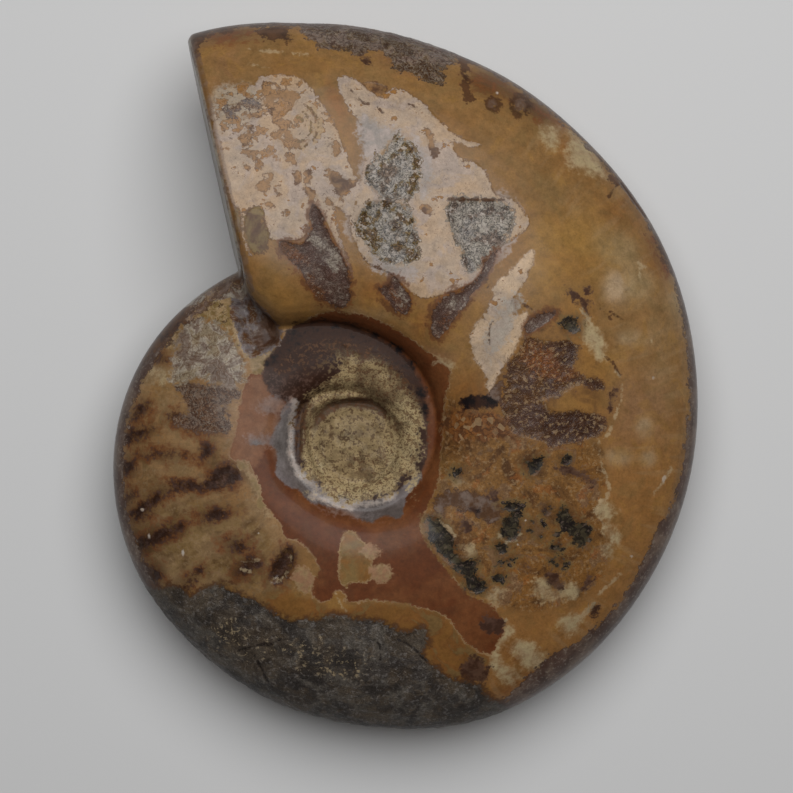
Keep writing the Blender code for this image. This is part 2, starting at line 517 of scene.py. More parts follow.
@dataclass(frozen=True)
class Relief:
    """A stretch of the flank that lies lower, and is rough.

    Args:
        marking: The mark that it covers.
        sink: How far its middle lies lower.
        edge: From the mark's edge to where it is fully lower, in pixels.
        lump: How far it is uneven, each way.
        lump_size: From one lump to the next.
        crystals: Whether its lumps have facets.
        levelled: How much of its rise and fall is taken off.
    """

    marking: str
    sink: float = 0.0
    edge: float = 5.0
    lump: float = 0.0
    lump_size: float = 1.0 * MM
    crystals: bool = False
    levelled: float = 0.0

    FINER = 2.3  # how much finer the small lumps on the rounded ones are
    FINER_SHARE = 0.5  # how high they are beside them
    FACETS = 2.2  # how steep the crystals' sides are

    def apply(self, surface: Surface) -> None:
        """Moves the surface's points.

        Args:
            surface: What is worked over.
        """
        depth = surface.depths[self.marking]
        inside = np.flatnonzero(depth > 0)
        share = np.clip(depth[inside] / self.edge, 0.0, 1.0)
        share = share * share * (3 - 2 * share)
        move = -self.sink * share
        if self.lump:
            points = surface.places[inside] / self.lump_size
            if self.crystals:
                uneven = [1.0 - self.FACETS * noise.voronoi(point)[0][0] for point in points]
            else:
                small = (self.FINER_SHARE * noise.noise(Vector(point) * self.FINER) for point in points)
                uneven = [noise.noise(point) + lump for point, lump in zip(points, small)]
            move = move + self.lump * share * np.array(uneven)
        surface.places[inside] += surface.normals[inside] * move[:, None]
        if self.levelled:
            heights = surface.places[inside, 2]
            surface.places[inside, 2] -= self.levelled * share * (heights - np.median(heights))


@dataclass(frozen=True)
class Cloud:
    """A soft patch of another tone under the polish, an ellipse in photo pixels.

    Args:
        tone: Its tone.
        x: How far right its middle lies.
        y: How far down its middle lies.
        length: Its half length.
        width: Its half width.
        turn: How far it is turned, in degrees.
        cover: How much of the tone below its middle hides.
    """

    tone: "Tone"
    x: float
    y: float
    length: float
    width: float
    turn: float
    cover: float

    FALL_OFF = 3.0  # the higher, the flatter its middle and the steeper its edge

    def paint(self, colours: Array, pixels: Array) -> None:
        """Lays the patch over the colours.

        Args:
            colours: A colour for each point of the mesh.
            pixels: Where each lies in the photograph.
        """
        away = from_the_middle(pixels, self.x, self.y, self.length, self.width, self.turn)
        share = self.cover * np.exp(-(away**self.FALL_OFF))
        colours += share[:, None] * (np.array(self.tone.albedo()) - colours)


@dataclass(frozen=True)
class Shell:
    """The ammonite: its mesh and the finish of its polished surface.

    Args:
        coil: The coil that it is made from.
        photo: Where its marks are looked up.
        rest_tilt: How far the coil's middle plane leans at rest.
        rest_tilt_direction: The side that the tilt lifts, anticlockwise from +X.
        mid_height: The height of the coil's centre.
        voxel: How fine the mesh is.
        smoothing: How often the mesh is smoothed.
        smoothing_factor: How far each smoothing goes.
        coarser_below: The height in the coil's own frame from which down the mesh may be coarser.
        triangles: How many the mesh may have.
        lower_turn: How far the marks are turned about the coil for the flank that it lies on.
        streak_squeeze: How much shorter the streaks' pattern is across the whorl than along it.
        mouth_edge: How far back the mouth's cut face reaches round its edge.
        lip_behind: How far behind the cut the middle of the dark lip runs.
        lip_half_width: Half the lip's width, in pixels.
        beside_the_whorl: How far past the whorl's edges the cut and the lip still reach, as a share.
        corner_turn: Where the last whorl starts to lie before the rim, in degrees back from the mouth.
    """

    coil: Coil = field(default_factory=Coil)
    photo: PhotoFrame = field(default_factory=PhotoFrame)
    rest_tilt: float = radians(3.4)
    rest_tilt_direction: float = radians(107.0)
    mid_height: float = 12.2 * MM
    voxel: float = 0.36 * MM
    smoothing: int = 3
    smoothing_factor: float = 0.6
    coarser_below: float = -1.5 * MM
    triangles: int = 192000
    lower_turn: float = radians(-70.0)
    streak_squeeze: float = 0.12
    mouth_edge: float = 0.35 * MM
    lip_behind: float = 0.75 * MM
    lip_half_width: float = 2.6
    beside_the_whorl: float = 0.05
    corner_turn: float = 270.0

    def rest(self) -> Matrix:
        """Lays the coil down.

        Returns:
            The matrix that does it.
        """
        axis = Vector((-sin(self.rest_tilt_direction), cos(self.rest_tilt_direction), 0.0))
        place = Vector((*self.photo.coil_centre, self.mid_height))
        return Matrix.Translation(place) @ Matrix.Rotation(-self.rest_tilt, 4, axis)

    def _even_mesh(self) -> bpy.types.Object:
        """Makes the coil closed and even, and finer on the flank that shows.

        Returns:
            Its one mesh.
        """
        shell = self.coil.build()
        shell.data.remesh_voxel_size = self.voxel
        bpy.ops.object.voxel_remesh()
        smooth = shell.modifiers.new("smooth", "SMOOTH")
        smooth.factor = self.smoothing_factor
        smooth.iterations = self.smoothing
        bpy.ops.object.modifier_apply(modifier=smooth.name)
        below = [vert.index for vert in shell.data.vertices if vert.co.z < self.coarser_below]
        group = shell.vertex_groups.new(name="below")
        group.add(below, 1.0, "REPLACE")
        thin = shell.modifiers.new("thin", "DECIMATE")
        thin.vertex_group = group.name
        thin.vertex_group_factor = 1.0
        thin.ratio = self.triangles / (2 * len(shell.data.vertices))
        bpy.ops.object.modifier_apply(modifier=thin.name)
        shell.vertex_groups.clear()
        return shell

    def _surface(self, shell: bpy.types.Object) -> Surface:
        """Lays the coil down and reads its points.

        Args:
            shell: The even mesh.

        Returns:
            What is worked over.
        """
        mesh = shell.data
        count = len(mesh.vertices)
        local = np.empty(count * 3)
        mesh.vertices.foreach_get("co", local)
        local = local.reshape(-1, 3)
        side = np.where(local[:, 2] > 0, 1.0, -1.0) * self.coil.uneven_span
        plan = np.stack((local[:, 0], local[:, 1], side), axis=1) / self.coil.uneven_span
        swell = np.array([noise.noise(point) for point in plan])
        local[:, 2] *= 1 + self.coil.unevenness * swell
        rest = np.array(self.rest())
        places = local @ rest[:3, :3].T + rest[:3, 3]
        places[:, 2] = np.maximum(places[:, 2], 0.0)
        mesh.vertices.foreach_set("co", places.ravel())
        mesh.update()
        normals = np.empty(count * 3)
        mesh.vertices.foreach_get("normal", normals)
        pixels = self.photo.pixels(places)
        below = local[:, 2] < 0
        c, s = cos(self.lower_turn), sin(self.lower_turn)
        offset = pixels[below] - self.photo.coil_pixel
        turned = np.stack((offset[:, 0] * c - offset[:, 1] * s, offset[:, 0] * s + offset[:, 1] * c), axis=1)
        pixels[below] = turned + self.photo.coil_pixel
        return Surface(places, normals.reshape(-1, 3), local, pixels)

    def _rim(self, surface: Surface) -> Array:
        """Finds the band round the rim.

        Args:
            surface: What is worked over.

        Returns:
            How deep each point lies in it, in pixels.
        """
        x, y = surface.local[:, 0], surface.local[:, 1]
        directions = np.arctan2(y, x)
        inward = (self.coil.outer_radius(directions) - np.hypot(x, y)) / self.photo.metres_per_pixel
        back = np.degrees((self.coil.mouth_direction - directions) % (2 * pi))
        width = np.interp(back, *zip(*RIM_WIDTHS))
        across, ahead = self._from_the_mouth(surface)
        last_whorl = (back > self.corner_turn) & (ahead < 0) & (across > 0)  # it hides the rim behind it
        inward[last_whorl] = 2 * width.max()
        return np.clip(width - inward, -Marking.REACH, Marking.REACH)

    def _along(self, surface: Surface) -> Array:
        """Finds coordinates that run round the coil and, drawn out, across the whorl.

        Args:
            surface: What is worked over.

        Returns:
            Those coordinates, one point a row.
        """
        x, y = surface.local[:, 0], surface.local[:, 1]
        reach = np.hypot(x, y)
        round_it = np.arctan2(y, x) * self.coil.station(0.0)[0] / 2
        return np.stack((round_it, reach * self.streak_squeeze, np.sign(surface.local[:, 2]) * MM), axis=1)

    def _from_the_mouth(self, surface: Surface) -> tuple[Array, Array]:
        """Measures from the mouth.

        Args:
            surface: What is worked over.

        Returns:
            How far each point lies across the mouth's whorl, as a share, and ahead of its cut.
        """
        mouth = np.array(self.coil.place(0.0).inverted())
        across, ahead, _ = (surface.local @ mouth[:3, :3].T + mouth[:3, 3]).T
        return across, ahead

    def _mouth(self, surface: Surface) -> tuple[Array, Array]:
        """Finds the mouth's cut face and its dark lip.

        Args:
            surface: What is worked over.

        Returns:
            How deep each point lies in either, in pixels.
        """
        across, ahead = self._from_the_mouth(surface)
        pixel, reach = self.photo.metres_per_pixel, Marking.REACH
        beside = (across < -self.beside_the_whorl) | (across > 1 + self.beside_the_whorl)
        face = (ahead + self.mouth_edge) / pixel
        lip = self.lip_half_width - np.abs(ahead + self.lip_behind) / pixel
        face[beside], lip[beside] = -reach, -reach
        return np.clip(face, -reach, reach), np.clip(lip, -reach, reach)

    def build(self) -> bpy.types.Object:
        """Models the shell and stores where its marks are.

        Returns:
            The finished mesh, with no material yet.
        """
        shell = self._even_mesh()
        surface = self._surface(shell)
        for name, marking in MARKINGS.items():
            surface.depths[name] = marking.depth(surface.pixels)
        surface.depths["rim"] = self._rim(surface)
        surface.depths["mouth_face"], surface.depths["lip"] = self._mouth(surface)
        for relief in RELIEFS:
            relief.apply(surface)
        surface.places = np.clip(surface.places, *CAD_BOX)
        shell.data.vertices.foreach_set("co", surface.places.ravel())
        colours = np.tile(np.array(Tone.HONEY.albedo()), (len(surface.places), 1))
        for cloud in CLOUDS:
            cloud.paint(colours, surface.pixels)
        undertone = shell.data.attributes.new("undertone", "FLOAT_COLOR", "POINT")
        rgba = np.concatenate((colours, np.ones((len(colours), 1))), axis=1)
        undertone.data.foreach_set("color", rgba.ravel())
        for name, depth in surface.depths.items():
            shell.data.attributes.new(name, "FLOAT", "POINT").data.foreach_set("value", depth)
        streaks = shell.data.attributes.new("along_the_whorl", "FLOAT_VECTOR", "POINT")
        streaks.data.foreach_set("vector", self._along(surface).ravel())
        shell.data.update()
        shell.name = shell.data.name = "ammonite_shell"
        bpy.ops.object.shade_smooth()
        return shell

    def dress(self, shell: bpy.types.Object) -> None:
        """Gives the shell its finish."""
        shell.data.materials.clear()
        shell.data.materials.append(Polish().material())


Value = Union["Wire", float]  # what a sum is made of


def sums(operation: str) -> Callable[["Wire", Value], "Wire"]:
    """Makes a method for one kind of sum.

    Args:
        operation: What its Math node does.

    Returns:
        The method, which takes the other value.
    """

    def method(self: "Wire", other: Value) -> "Wire":
        """Returns the result."""
        return self.math(operation, self, other)

    return method


class Wire:
    """A shader value, a socket or a number, that arithmetic can be written on."""

    def __init__(self, graph: "Graph", value: Union[bpy.types.NodeSocket, float]) -> None:
        """Keeps the value and the graph that it belongs to."""
        self.graph = graph
        self.value = value

    def math(self, operation: str, *values: Value) -> "Wire":
        """Returns the result of a Math node."""
        return self.graph.node("ShaderNodeMath", {"operation": operation}, dict(enumerate(values)))

    __add__ = sums("ADD")
    __sub__ = sums("SUBTRACT")
    __mul__ = sums("MULTIPLY")
    __truediv__ = sums("DIVIDE")

    def __rsub__(self, other: float) -> "Wire":
        """Returns how much more a number is than the value."""
        return self.math("SUBTRACT", other, self)

    def absolute(self) -> "Wire":
        """Returns the value without its sign."""
        return self.math("ABSOLUTE", self)

    def clamped(self) -> "Wire":
        """Returns the value kept between 0 and 1."""
        return self.graph.node("ShaderNodeClamp", {}, {"Value": self})

    def smooth(self, low: float, high: float) -> "Wire":
        """Makes a soft step.

        Args:
            low: The value at which it is still 0.
            high: The value at which it is 1.

        Returns:
            The step.
        """
        settings = {"interpolation_type": "SMOOTHSTEP", "clamp": False}  # it keeps to 0 and 1 by itself
        inputs = {"Value": self, "From Min": low, "From Max": high}
        return self.graph.node("ShaderNodeMapRange", settings, inputs)


class Graph:
    """The nodes of one material."""

    def __init__(self, name: str) -> None:
        """Starts an empty material with its output node.

        Args:
            name: The material's name.
        """
        self.material = bpy.data.materials.new(name)
        self.material.use_nodes = True
        self.tree = self.material.node_tree
        self.tree.nodes.clear()
        self.output = self.tree.nodes.new("ShaderNodeOutputMaterial")

    def node(self, kind: str, settings: dict, inputs: dict, output: Union[int, str] = 0) -> Wire:
        """Adds a node.

        Args:
            kind: The node's type.
            settings: Its own settings.
            inputs: What its sockets get, a wire or a value by the socket's name or number.
            output: Which of its outputs is wanted.

        Returns:
            That output.
        """
        made = self.tree.nodes.new(kind)
        for name, value in settings.items():
            setattr(made, name, value)
        for key, value in inputs.items():
            socket = made.inputs[key]
            if isinstance(value, Wire):
                self.tree.links.new(value.value, socket)
            else:
                socket.default_value = value
        return Wire(self, made.outputs[output])

    def attribute(self, name: str, output: str = "Fac") -> Wire:
        """Returns a value stored on the mesh."""
        return self.node("ShaderNodeAttribute", {"attribute_name": name}, {}, output)

    def mix(self, share: Union[Wire, float], first: Union[Wire, tuple], second: Union[Wire, tuple]) -> Wire:
        """Returns a colour between two, the second where share is 1."""
        settings = {"data_type": "RGBA"}
        return self.node("ShaderNodeMix", settings, {0: share, 6: first, 7: second}, 2)

    def shade(self, colour: Wire, level: Wire) -> Wire:
        """Returns a colour made lighter or darker by a level."""
        settings = {"operation": "SCALE"}
        return self.node("ShaderNodeVectorMath", settings, {0: colour, 3: level})


class Pattern(Enum):
    """The patterns that break up the marks."""

    CLOUDY = "cloudy"
    PATCHY = "patchy"
    MOTTLED = "mottled"
    SPECKLED = "speckled"
    FINE = "fine"
    CURLED = "curled"
    FILIGREE = "filigree"
    GRAINY = "grainy"
    STREAKED = "streaked"


CLOUDY, PATCHY, MOTTLED, SPECKLED, FINE, CURLED, FILIGREE, GRAINY, STREAKED = Pattern


@dataclass(frozen=True)
class Layer:
    """How one mark looks.

    Args:
        marking: The mark that it covers.
        main: Its tone.
        second: The tone that its pattern mixes in. Without one only the pattern's high parts are laid.
        pattern: How that tone is spread.
        spread: Where the pattern turns from one tone to the other, between 0 and 1.
        contrast: How sharp that turn is.
        cover: How much of what lies below it hides.
        grow: How far past the mark it spreads, in pixels.
        wander: How far its edge strays, in pixels.
        soft: How wide its edge is, in pixels.
        edge: The tone of the thin line along its edge, where it has one.
        roughness: How dull it is, where that differs from what lies below.
        relief: How far its pattern stands up, in mm.
        step: How far it stands above what lies below it, in mm.
    """

    marking: str
    main: "Tone"
    second: Optional["Tone"] = None
    pattern: Pattern = MOTTLED
    spread: float = 0.5
    contrast: float = 0.1
    cover: float = 1.0
    grow: float = 0.0
    wander: float = 8.0
    soft: float = 1.6
    edge: Optional["Tone"] = None
    roughness: Optional[float] = None
    relief: float = 0.0
    step: float = 0.0


@dataclass(frozen=True)
class Polish:
    """The shell's finish: undertones below, the marks in layers over them, and a polish over all.

    Args:
        name: The material's name.
        base_roughness: How dull the plain shell is.
        reflectance: How much light glances off it below the polish.
        clear_coat: How strong the polish over everything is.
        coat_roughness: How dull that polish is.
        grain: How much each pattern lightens and darkens the whole shell.
        edge_width: How wide the line along a mark's edge is, in pixels.
        edge_cover: How strong that line is.
        line_gaps: Where the mottled pattern breaks that line off, and where it is whole again.
        stray: How much the mottled and the speckled pattern have to do with a mark's wandering edge.
        relief_edge: How deep inside a mark its relief begins, and where it is full, in pixels.
        cells: How many of the grainy pattern's cells there are to the metre.
    """

    name: str = "polished_shell"
    base_roughness: float = 0.32
    reflectance: float = 0.16
    clear_coat: float = 0.07
    coat_roughness: float = 0.14
    grain: tuple[tuple[Pattern, float], ...] = (
        (CLOUDY, 0.6), (MOTTLED, 0.8), (SPECKLED, 0.6), (FINE, 0.35),
    )
    edge_width: float = 1.3
    edge_cover: float = 0.75
    line_gaps: tuple[float, float] = (0.38, 0.52)
    stray: tuple[float, float] = (2.2, 1.6)
    relief_edge: tuple[float, float] = (-0.7, 1.3)
    cells: float = 1300.0

    def patterns(self, graph: Graph) -> dict[Pattern, Wire]:
        """Makes the patterns that the layers share.

        Args:
            graph: The material's nodes.

        Returns:
            Each pattern's value, between 0 and 1.
        """
        place = graph.node("ShaderNodeTexCoord", {}, {}, "Object")
        along = graph.attribute("along_the_whorl", "Vector")

        def uneven(scale: float, detail: float, rough: float, over: Wire = place, twist: float = 0) -> Wire:
            """Returns a noise with so many features to the metre."""
            inputs = {"Vector": over, "Scale": scale, "Detail": detail, "Roughness": rough}
            return graph.node("ShaderNodeTexNoise", {}, {**inputs, "Distortion": twist})

        def lines(over: Wire, thinness: float) -> Wire:
            """Returns the thin lines where a noise is at its middle."""
            return 1 - (over - 0.5).absolute() * thinness

        cells = graph.node("ShaderNodeTexVoronoi", {}, {"Vector": place, "Scale": self.cells}, "Color")
        return {
            CLOUDY: uneven(150.0, 3.0, 0.6),
            PATCHY: uneven(290.0, 4.0, 0.6, twist=0.7),
            MOTTLED: uneven(560.0, 3.0, 0.65),
            SPECKLED: uneven(1700.0, 2.0, 0.7),
            FINE: uneven(4200.0, 1.0, 0.6),
            CURLED: lines(uneven(760.0, 2.0, 0.55, twist=1.0), thinness=5),
            FILIGREE: lines(uneven(1350.0, 2.0, 0.6, twist=1.4), thinness=4.5),
            GRAINY: graph.node("ShaderNodeSeparateColor", {}, {0: cells}, 0),
            STREAKED: uneven(900.0, 2.0, 0.6, along),
        }

    def material(self) -> bpy.types.Material:
        """Builds the material.

        Returns:
            The finish as nodes.
        """
        graph = Graph(self.name)
        patterns = self.patterns(graph)
        mottled, speckled = patterns[MOTTLED], patterns[SPECKLED]
        stray = mottled * self.stray[0] + speckled * self.stray[1] - sum(self.stray) / 2
        broken = mottled.smooth(*self.line_gaps)
        colour = graph.attribute("undertone", "Color")
        roughness: Value = self.base_roughness
        height: Value = 0.0
        for layer in LAYERS:
            depth = graph.attribute(layer.marking) + stray * layer.wander + layer.grow
            share = depth.smooth(-layer.soft / 2, layer.soft / 2) * layer.cover
            pattern = patterns[layer.pattern]
            turn = pattern.smooth(layer.spread - layer.contrast, layer.spread + layer.contrast)
            if layer.second:
                colour = graph.mix(share, colour, layer.main.rgba())
                colour = graph.mix(share * turn, colour, layer.second.rgba())
            else:
                share = share * turn
                colour = graph.mix(share, colour, layer.main.rgba())
            if layer.edge:
                line = (1 - depth.absolute() / self.edge_width).clamped() * broken
                colour = graph.mix(line * self.edge_cover, colour, layer.edge.rgba())
            if layer.roughness is not None:
                roughness = share * (layer.roughness - roughness) + roughness
            if layer.relief or layer.step:
                inside = graph.attribute(layer.marking).smooth(*self.relief_edge)
                height = inside * (pattern * layer.relief + layer.step) + height
        level: Value = 1 - sum(weight for _, weight in self.grain) / 2
        for pattern, weight in self.grain:
            level = patterns[pattern] * weight + level
        shader = self.shader(graph, graph.shade(colour, level), roughness, height)
        graph.tree.links.new(shader.value, graph.output.inputs["Surface"])
        return graph.material

    def shader(self, graph: Graph, colour: Wire, roughness: Wire, height: Wire) -> Wire:
        """Makes the polished surface with the bump under it.

        Args:
            graph: The material's nodes.
            colour: Its colour.
            roughness: How dull it is.
            height: How far it stands up, in mm.

        Returns:
            Its shader.
        """
        bump = graph.node("ShaderNodeBump", {}, {"Strength": 1.0, "Distance": MM, "Height": height})
        inputs = {
            "Base Color": colour,
            "Roughness": roughness,
            "Normal": bump,
            "Specular IOR Level": self.reflectance,
            "Coat Weight": self.clear_coat,
            "Coat Roughness": self.coat_roughness,
        }
        return graph.node("ShaderNodeBsdfPrincipled", {}, inputs)


LIGHT = 0.86  # how much of the light the shell meets
SHEEN = 0.012  # what the polish adds to every tone
DARKEST = 0.004  # no tone is darker than this
WHITE, CURVE, CURVE_FOOT = 255, 2.4, 0.055  # how a picture stores how light a colour is


class Tone(Enum):
    """The tones of the shell, as they look in the photograph's light."""

    HONEY = (126, 96, 63)
    WARM_HONEY = (134, 96, 60)
    DEEP_HONEY = (110, 77, 46)
    AMBER = (138, 105, 58)
    OLIVE = (108, 90, 60)
    OCHRE = (124, 90, 54)
    TAN = (130, 100, 70)
    PALE_TAN = (140, 117, 88)
    CREAM = (156, 137, 118)
    WARM_CREAM = (152, 128, 103)
    PEACH = (174, 150, 123)
    LILAC_CREAM = (146, 132, 124)
    BONE = (152, 134, 106)
    GREENISH_BONE = (144, 129, 99)
    BLUSH = (126, 94, 73)
    BRICK = (104, 67, 45)
    DEEP_BRICK = (88, 54, 38)
    RUST = (122, 76, 44)
    UMBER = (82, 60, 45)
    DARK_UMBER = (58, 43, 37)
    PLUM = (80, 62, 55)
    DUSK = (100, 85, 76)
    BLUE_GREY = (130, 125, 122)
    ASH = (140, 132, 120)
    SLATE = (88, 80, 77)
    HEATHER = (108, 100, 99)
    KHAKI = (146, 127, 94)
    PALE_KHAKI = (164, 148, 114)
    DARK_KHAKI = (98, 82, 62)
    MOSS = (68, 62, 50)
    BLACK_MOSS = (46, 42, 39)
    MATRIX = (70, 65, 61)
    PALE_MATRIX = (92, 86, 79)
    BROWN_MATRIX = (80, 70, 59)
    BLACK = (36, 29, 27)
    FROST = (178, 169, 160)

    def albedo(self) -> tuple[float, float, float]:
        """Returns the tone's own colour, with the photograph's light taken off."""
        linear = [((stored / WHITE + CURVE_FOOT) / (1 + CURVE_FOOT)) ** CURVE for stored in self.value]
        return tuple(max((level - SHEEN) / LIGHT, DARKEST) for level in linear)

    def rgba(self) -> tuple[float, float, float, float]:
        """Returns the same colour for a socket."""
        return (*self.albedo(), 1.0)


# The band round the rim: degrees back from the mouth, then its width in pixels
RIM_WIDTHS = (
    (0, 5), (20, 6), (45, 5), (52, 4), (62, 5), (75, 5), (84, 5), (92, 9), (105, 11), (114, 15), (119, 12),
    (126, 17), (130, 22), (138, 19), (146, 17), (156, 24), (160, 33), (166, 30), (170, 22), (176, 12),
    (190, 6), (240, 7), (262, 14), (280, 12), (310, 12), (335, 14), (350, 12), (360, 6),
)

# Pale flakes of the outer layer, from the mouth round to the right
FLAKE_BY_THE_MOUTH = (
    (214, 96), (220, 87), (254, 86), (258, 76), (270, 75), (299, 75), (313, 90), (337, 127), (351, 170),
    (361, 179), (355, 214), (350, 217), (338, 207), (331, 206), (340, 240), (356, 281), (350, 274),
    (322, 213), (312, 204), (308, 241), (275, 241), (266, 238), (269, 232), (262, 207), (248, 209),
    (243, 232), (253, 258), (247, 252), (240, 232), (241, 208), (233, 207), (219, 165), (210, 118),
)
FLAKE_IN_THE_MIDDLE = (
    (336, 78), (342, 75), (359, 81), (381, 98), (396, 86), (421, 99), (449, 131), (460, 138), (482, 144),
    (480, 148), (466, 147), (450, 137), (456, 155), (462, 161), (481, 162), (494, 193), (500, 198),
    (514, 197), (523, 214), (529, 216), (530, 224), (526, 230), (500, 245), (478, 279), (468, 286),
    (438, 297), (415, 299), (393, 274), (370, 266), (362, 258), (347, 224), (357, 200), (358, 184),
    (362, 176), (366, 150), (362, 135), (364, 128), (342, 100),
)
FLAKE_BELOW_IT = (
    (534, 250), (527, 252), (513, 270), (489, 289), (495, 295), (492, 302), (467, 336), (473, 357),
    (485, 371), (487, 390), (490, 393), (502, 367), (517, 346), (530, 313), (524, 312), (516, 318),
    (511, 310), (511, 301), (524, 284), (535, 256),
)
# Where the honey shell shows through the flakes
GAPS_BY_THE_MOUTH = (
    ((260, 82), (272, 80), (281, 91), (290, 88), (297, 90), (300, 96), (297, 104), (280, 119), (272, 117),
     (270, 108), (262, 104), (260, 96), (265, 91)),
    ((238, 114), (250, 112), (262, 113), (264, 116), (256, 119), (244, 119)),
    ((272, 118), (282, 119), (292, 121), (290, 128), (282, 128), (276, 126)),
    ((266, 134), (285, 128), (291, 131), (300, 144), (311, 134), (309, 145), (296, 152)),
    ((303, 100), (310, 104), (322, 121), (323, 130), (319, 138), (312, 138), (316, 128), (313, 116)),
    ((217, 112), (221, 113), (220, 118), (216, 118)),
    ((221, 124), (224, 126), (224, 137), (221, 136)),
    ((248, 123), (254, 124), (253, 135), (247, 147), (241, 145), (243, 140), (236, 138), (246, 130)),
    ((238, 149), (246, 149), (252, 152), (257, 148), (258, 158), (252, 160), (246, 156)),
    ((242, 158), (245, 163), (250, 170), (246, 169), (242, 164)),
    ((256, 163), (261, 162), (264, 167), (259, 169)),
    ((284, 154), (290, 153), (297, 157), (298, 166), (292, 164), (286, 160)),
    ((263, 182), (265, 174), (270, 170), (275, 171), (270, 187), (264, 192), (256, 191), (254, 185)),
    ((275, 184), (279, 187), (277, 191), (282, 196), (277, 196), (275, 190)),
    ((290, 170), (300, 170), (301, 175), (299, 184), (294, 184), (296, 176)),
    ((302, 169), (312, 170), (311, 180), (307, 184), (304, 180), (307, 174)),
    ((303, 187), (310, 188), (317, 194), (318, 199), (312, 202), (307, 199), (306, 193)),
    ((323, 167), (330, 167), (339, 176), (351, 180), (361, 178), (341, 196), (345, 202), (338, 203)),
    ((331, 144), (335, 141), (341, 144), (339, 152), (337, 157), (331, 156)),
    ((266, 203), (270, 201), (273, 205), (269, 207)),
    ((284, 213), (291, 211), (289, 216), (285, 217)),
    ((324, 201), (329, 197), (333, 202), (332, 208), (325, 206)),
)
OLIVE_POCKET = (
    ((247, 210), (256, 206), (263, 208), (262, 222), (271, 236), (266, 241), (270, 250), (254, 254),
     (246, 244), (243, 219)),
    ((232, 209), (240, 208), (240, 226), (242, 244), (238, 244)),
)
CREAM_CRUMBS = (
    (273, 88, 5, 4, 30), (276, 100, 5, 2, 0), (264, 99, 3, 2, 0), (284, 137, 2, 3, 0), (266, 176, 2, 3, 0),
    (318, 124, 2, 6, 0),
)
GAPS_IN_THE_MIDDLE = (
    ((360, 82), (372, 82), (388, 86), (384, 92), (380, 97), (374, 94)),
    ((427, 125), (431, 132), (436, 148), (439, 156), (431, 159), (430, 148), (426, 138)),
    ((420, 206), (425, 204), (433, 208), (431, 214), (424, 214)),
    ((506, 212), (512, 206), (516, 214), (510, 228), (506, 226)),
)

# Hollows that are lined with fine grey crystals
CRYSTALS_ABOVE = (
    (384, 150), (397, 133), (405, 136), (415, 150), (420, 158), (418, 165), (421, 172), (416, 198),
    (392, 202), (385, 200), (370, 187), (366, 180), (366, 165), (378, 158),
)
CRYSTALS_BELOW = (
    (362, 210), (368, 203), (380, 200), (408, 203), (415, 220), (419, 252), (416, 260), (400, 268),
    (380, 260), (372, 253), (353, 226),
)
CRYSTALS_RIGHT = (
    (448, 202), (462, 197), (470, 200), (505, 200), (515, 215), (508, 235), (472, 281), (462, 258),
    (462, 248), (456, 244), (453, 236), (447, 212),
)
# Dark mineral that lies open between the flakes
DARK_DROP_LEFT = (
    (311, 204), (318, 205), (326, 228), (350, 272), (350, 302), (347, 307), (328, 303), (314, 296),
    (303, 274), (285, 257), (279, 245), (280, 241), (311, 245),
)
DARK_DROP_MIDDLE = ((392, 274), (410, 294), (412, 302), (405, 316), (393, 308), (376, 287), (391, 286))
DARK_DROP_RIGHT = (
    (478, 278), (474, 284), (448, 295), (434, 306), (431, 325), (432, 334), (437, 338), (443, 335),
    (458, 311), (478, 288), (500, 248), (491, 256),
)
DARK_DROP_FAR_RIGHT = ((525, 328), (527, 323), (542, 313), (555, 312), (555, 316), (532, 333), (526, 331))

RED_BAND = (
    (268, 352), (300, 324), (322, 312), (340, 310), (380, 320), (400, 331), (448, 367), (452, 373),
    (444, 400), (440, 480), (430, 505), (420, 520), (420, 534), (468, 597), (486, 600), (508, 622),
    (492, 655), (478, 652), (462, 640), (447, 612), (380, 600), (362, 600), (350, 604), (335, 598),
    (322, 604), (312, 596), (309, 586), (319, 570), (317, 562), (300, 541), (290, 540), (283, 535),
    (282, 525), (264, 505), (260, 480), (252, 472), (250, 460), (225, 460), (236, 435), (243, 385),
    (250, 372), (258, 372),
)
PINK_SHOULDER = (
    (243, 385), (258, 374), (267, 384), (270, 399), (277, 401), (262, 414), (277, 415), (281, 420),
    (262, 452), (256, 470), (250, 460), (225, 460), (236, 435),
)
# Shell left on the red band
LEAF_ON_THE_BAND = (
    (296, 539), (302, 541), (317, 562), (319, 570), (312, 573), (310, 593), (300, 594), (290, 590),
    (295, 570), (293, 548),
)
ISLAND_ON_THE_BAND = (
    (342, 536), (346, 532), (355, 532), (365, 548), (374, 550), (370, 570), (377, 570), (382, 562),
    (391, 573), (389, 579), (383, 582), (373, 576), (365, 583), (359, 581), (346, 583), (348, 587),
    (344, 586), (338, 577),
)
SLIP_ON_THE_BAND = (
    (334, 590), (342, 590), (346, 593), (347, 600), (344, 600), (348, 610), (346, 612), (336, 604),
    (333, 598),
)
PALE_ON_THE_BAND = ((428, 591), (438, 586), (448, 593), (447, 598), (441, 600), (439, 607), (432, 604))
RUST_BY_THE_CHAIN = (
    (420, 534), (435, 556), (446, 562), (449, 570), (463, 577), (465, 584), (459, 590), (448, 587),
    (424, 559), (420, 548),
)
RUST_ABOVE_THE_STONE = (
    (262, 600), (275, 590), (305, 597), (335, 612), (372, 602), (425, 607), (445, 613), (462, 642),
    (476, 652), (492, 657), (488, 668), (470, 684), (457, 684), (428, 662), (424, 650), (427, 640),
    (415, 634), (400, 634), (376, 620), (340, 617), (300, 621), (280, 617), (265, 609),
)

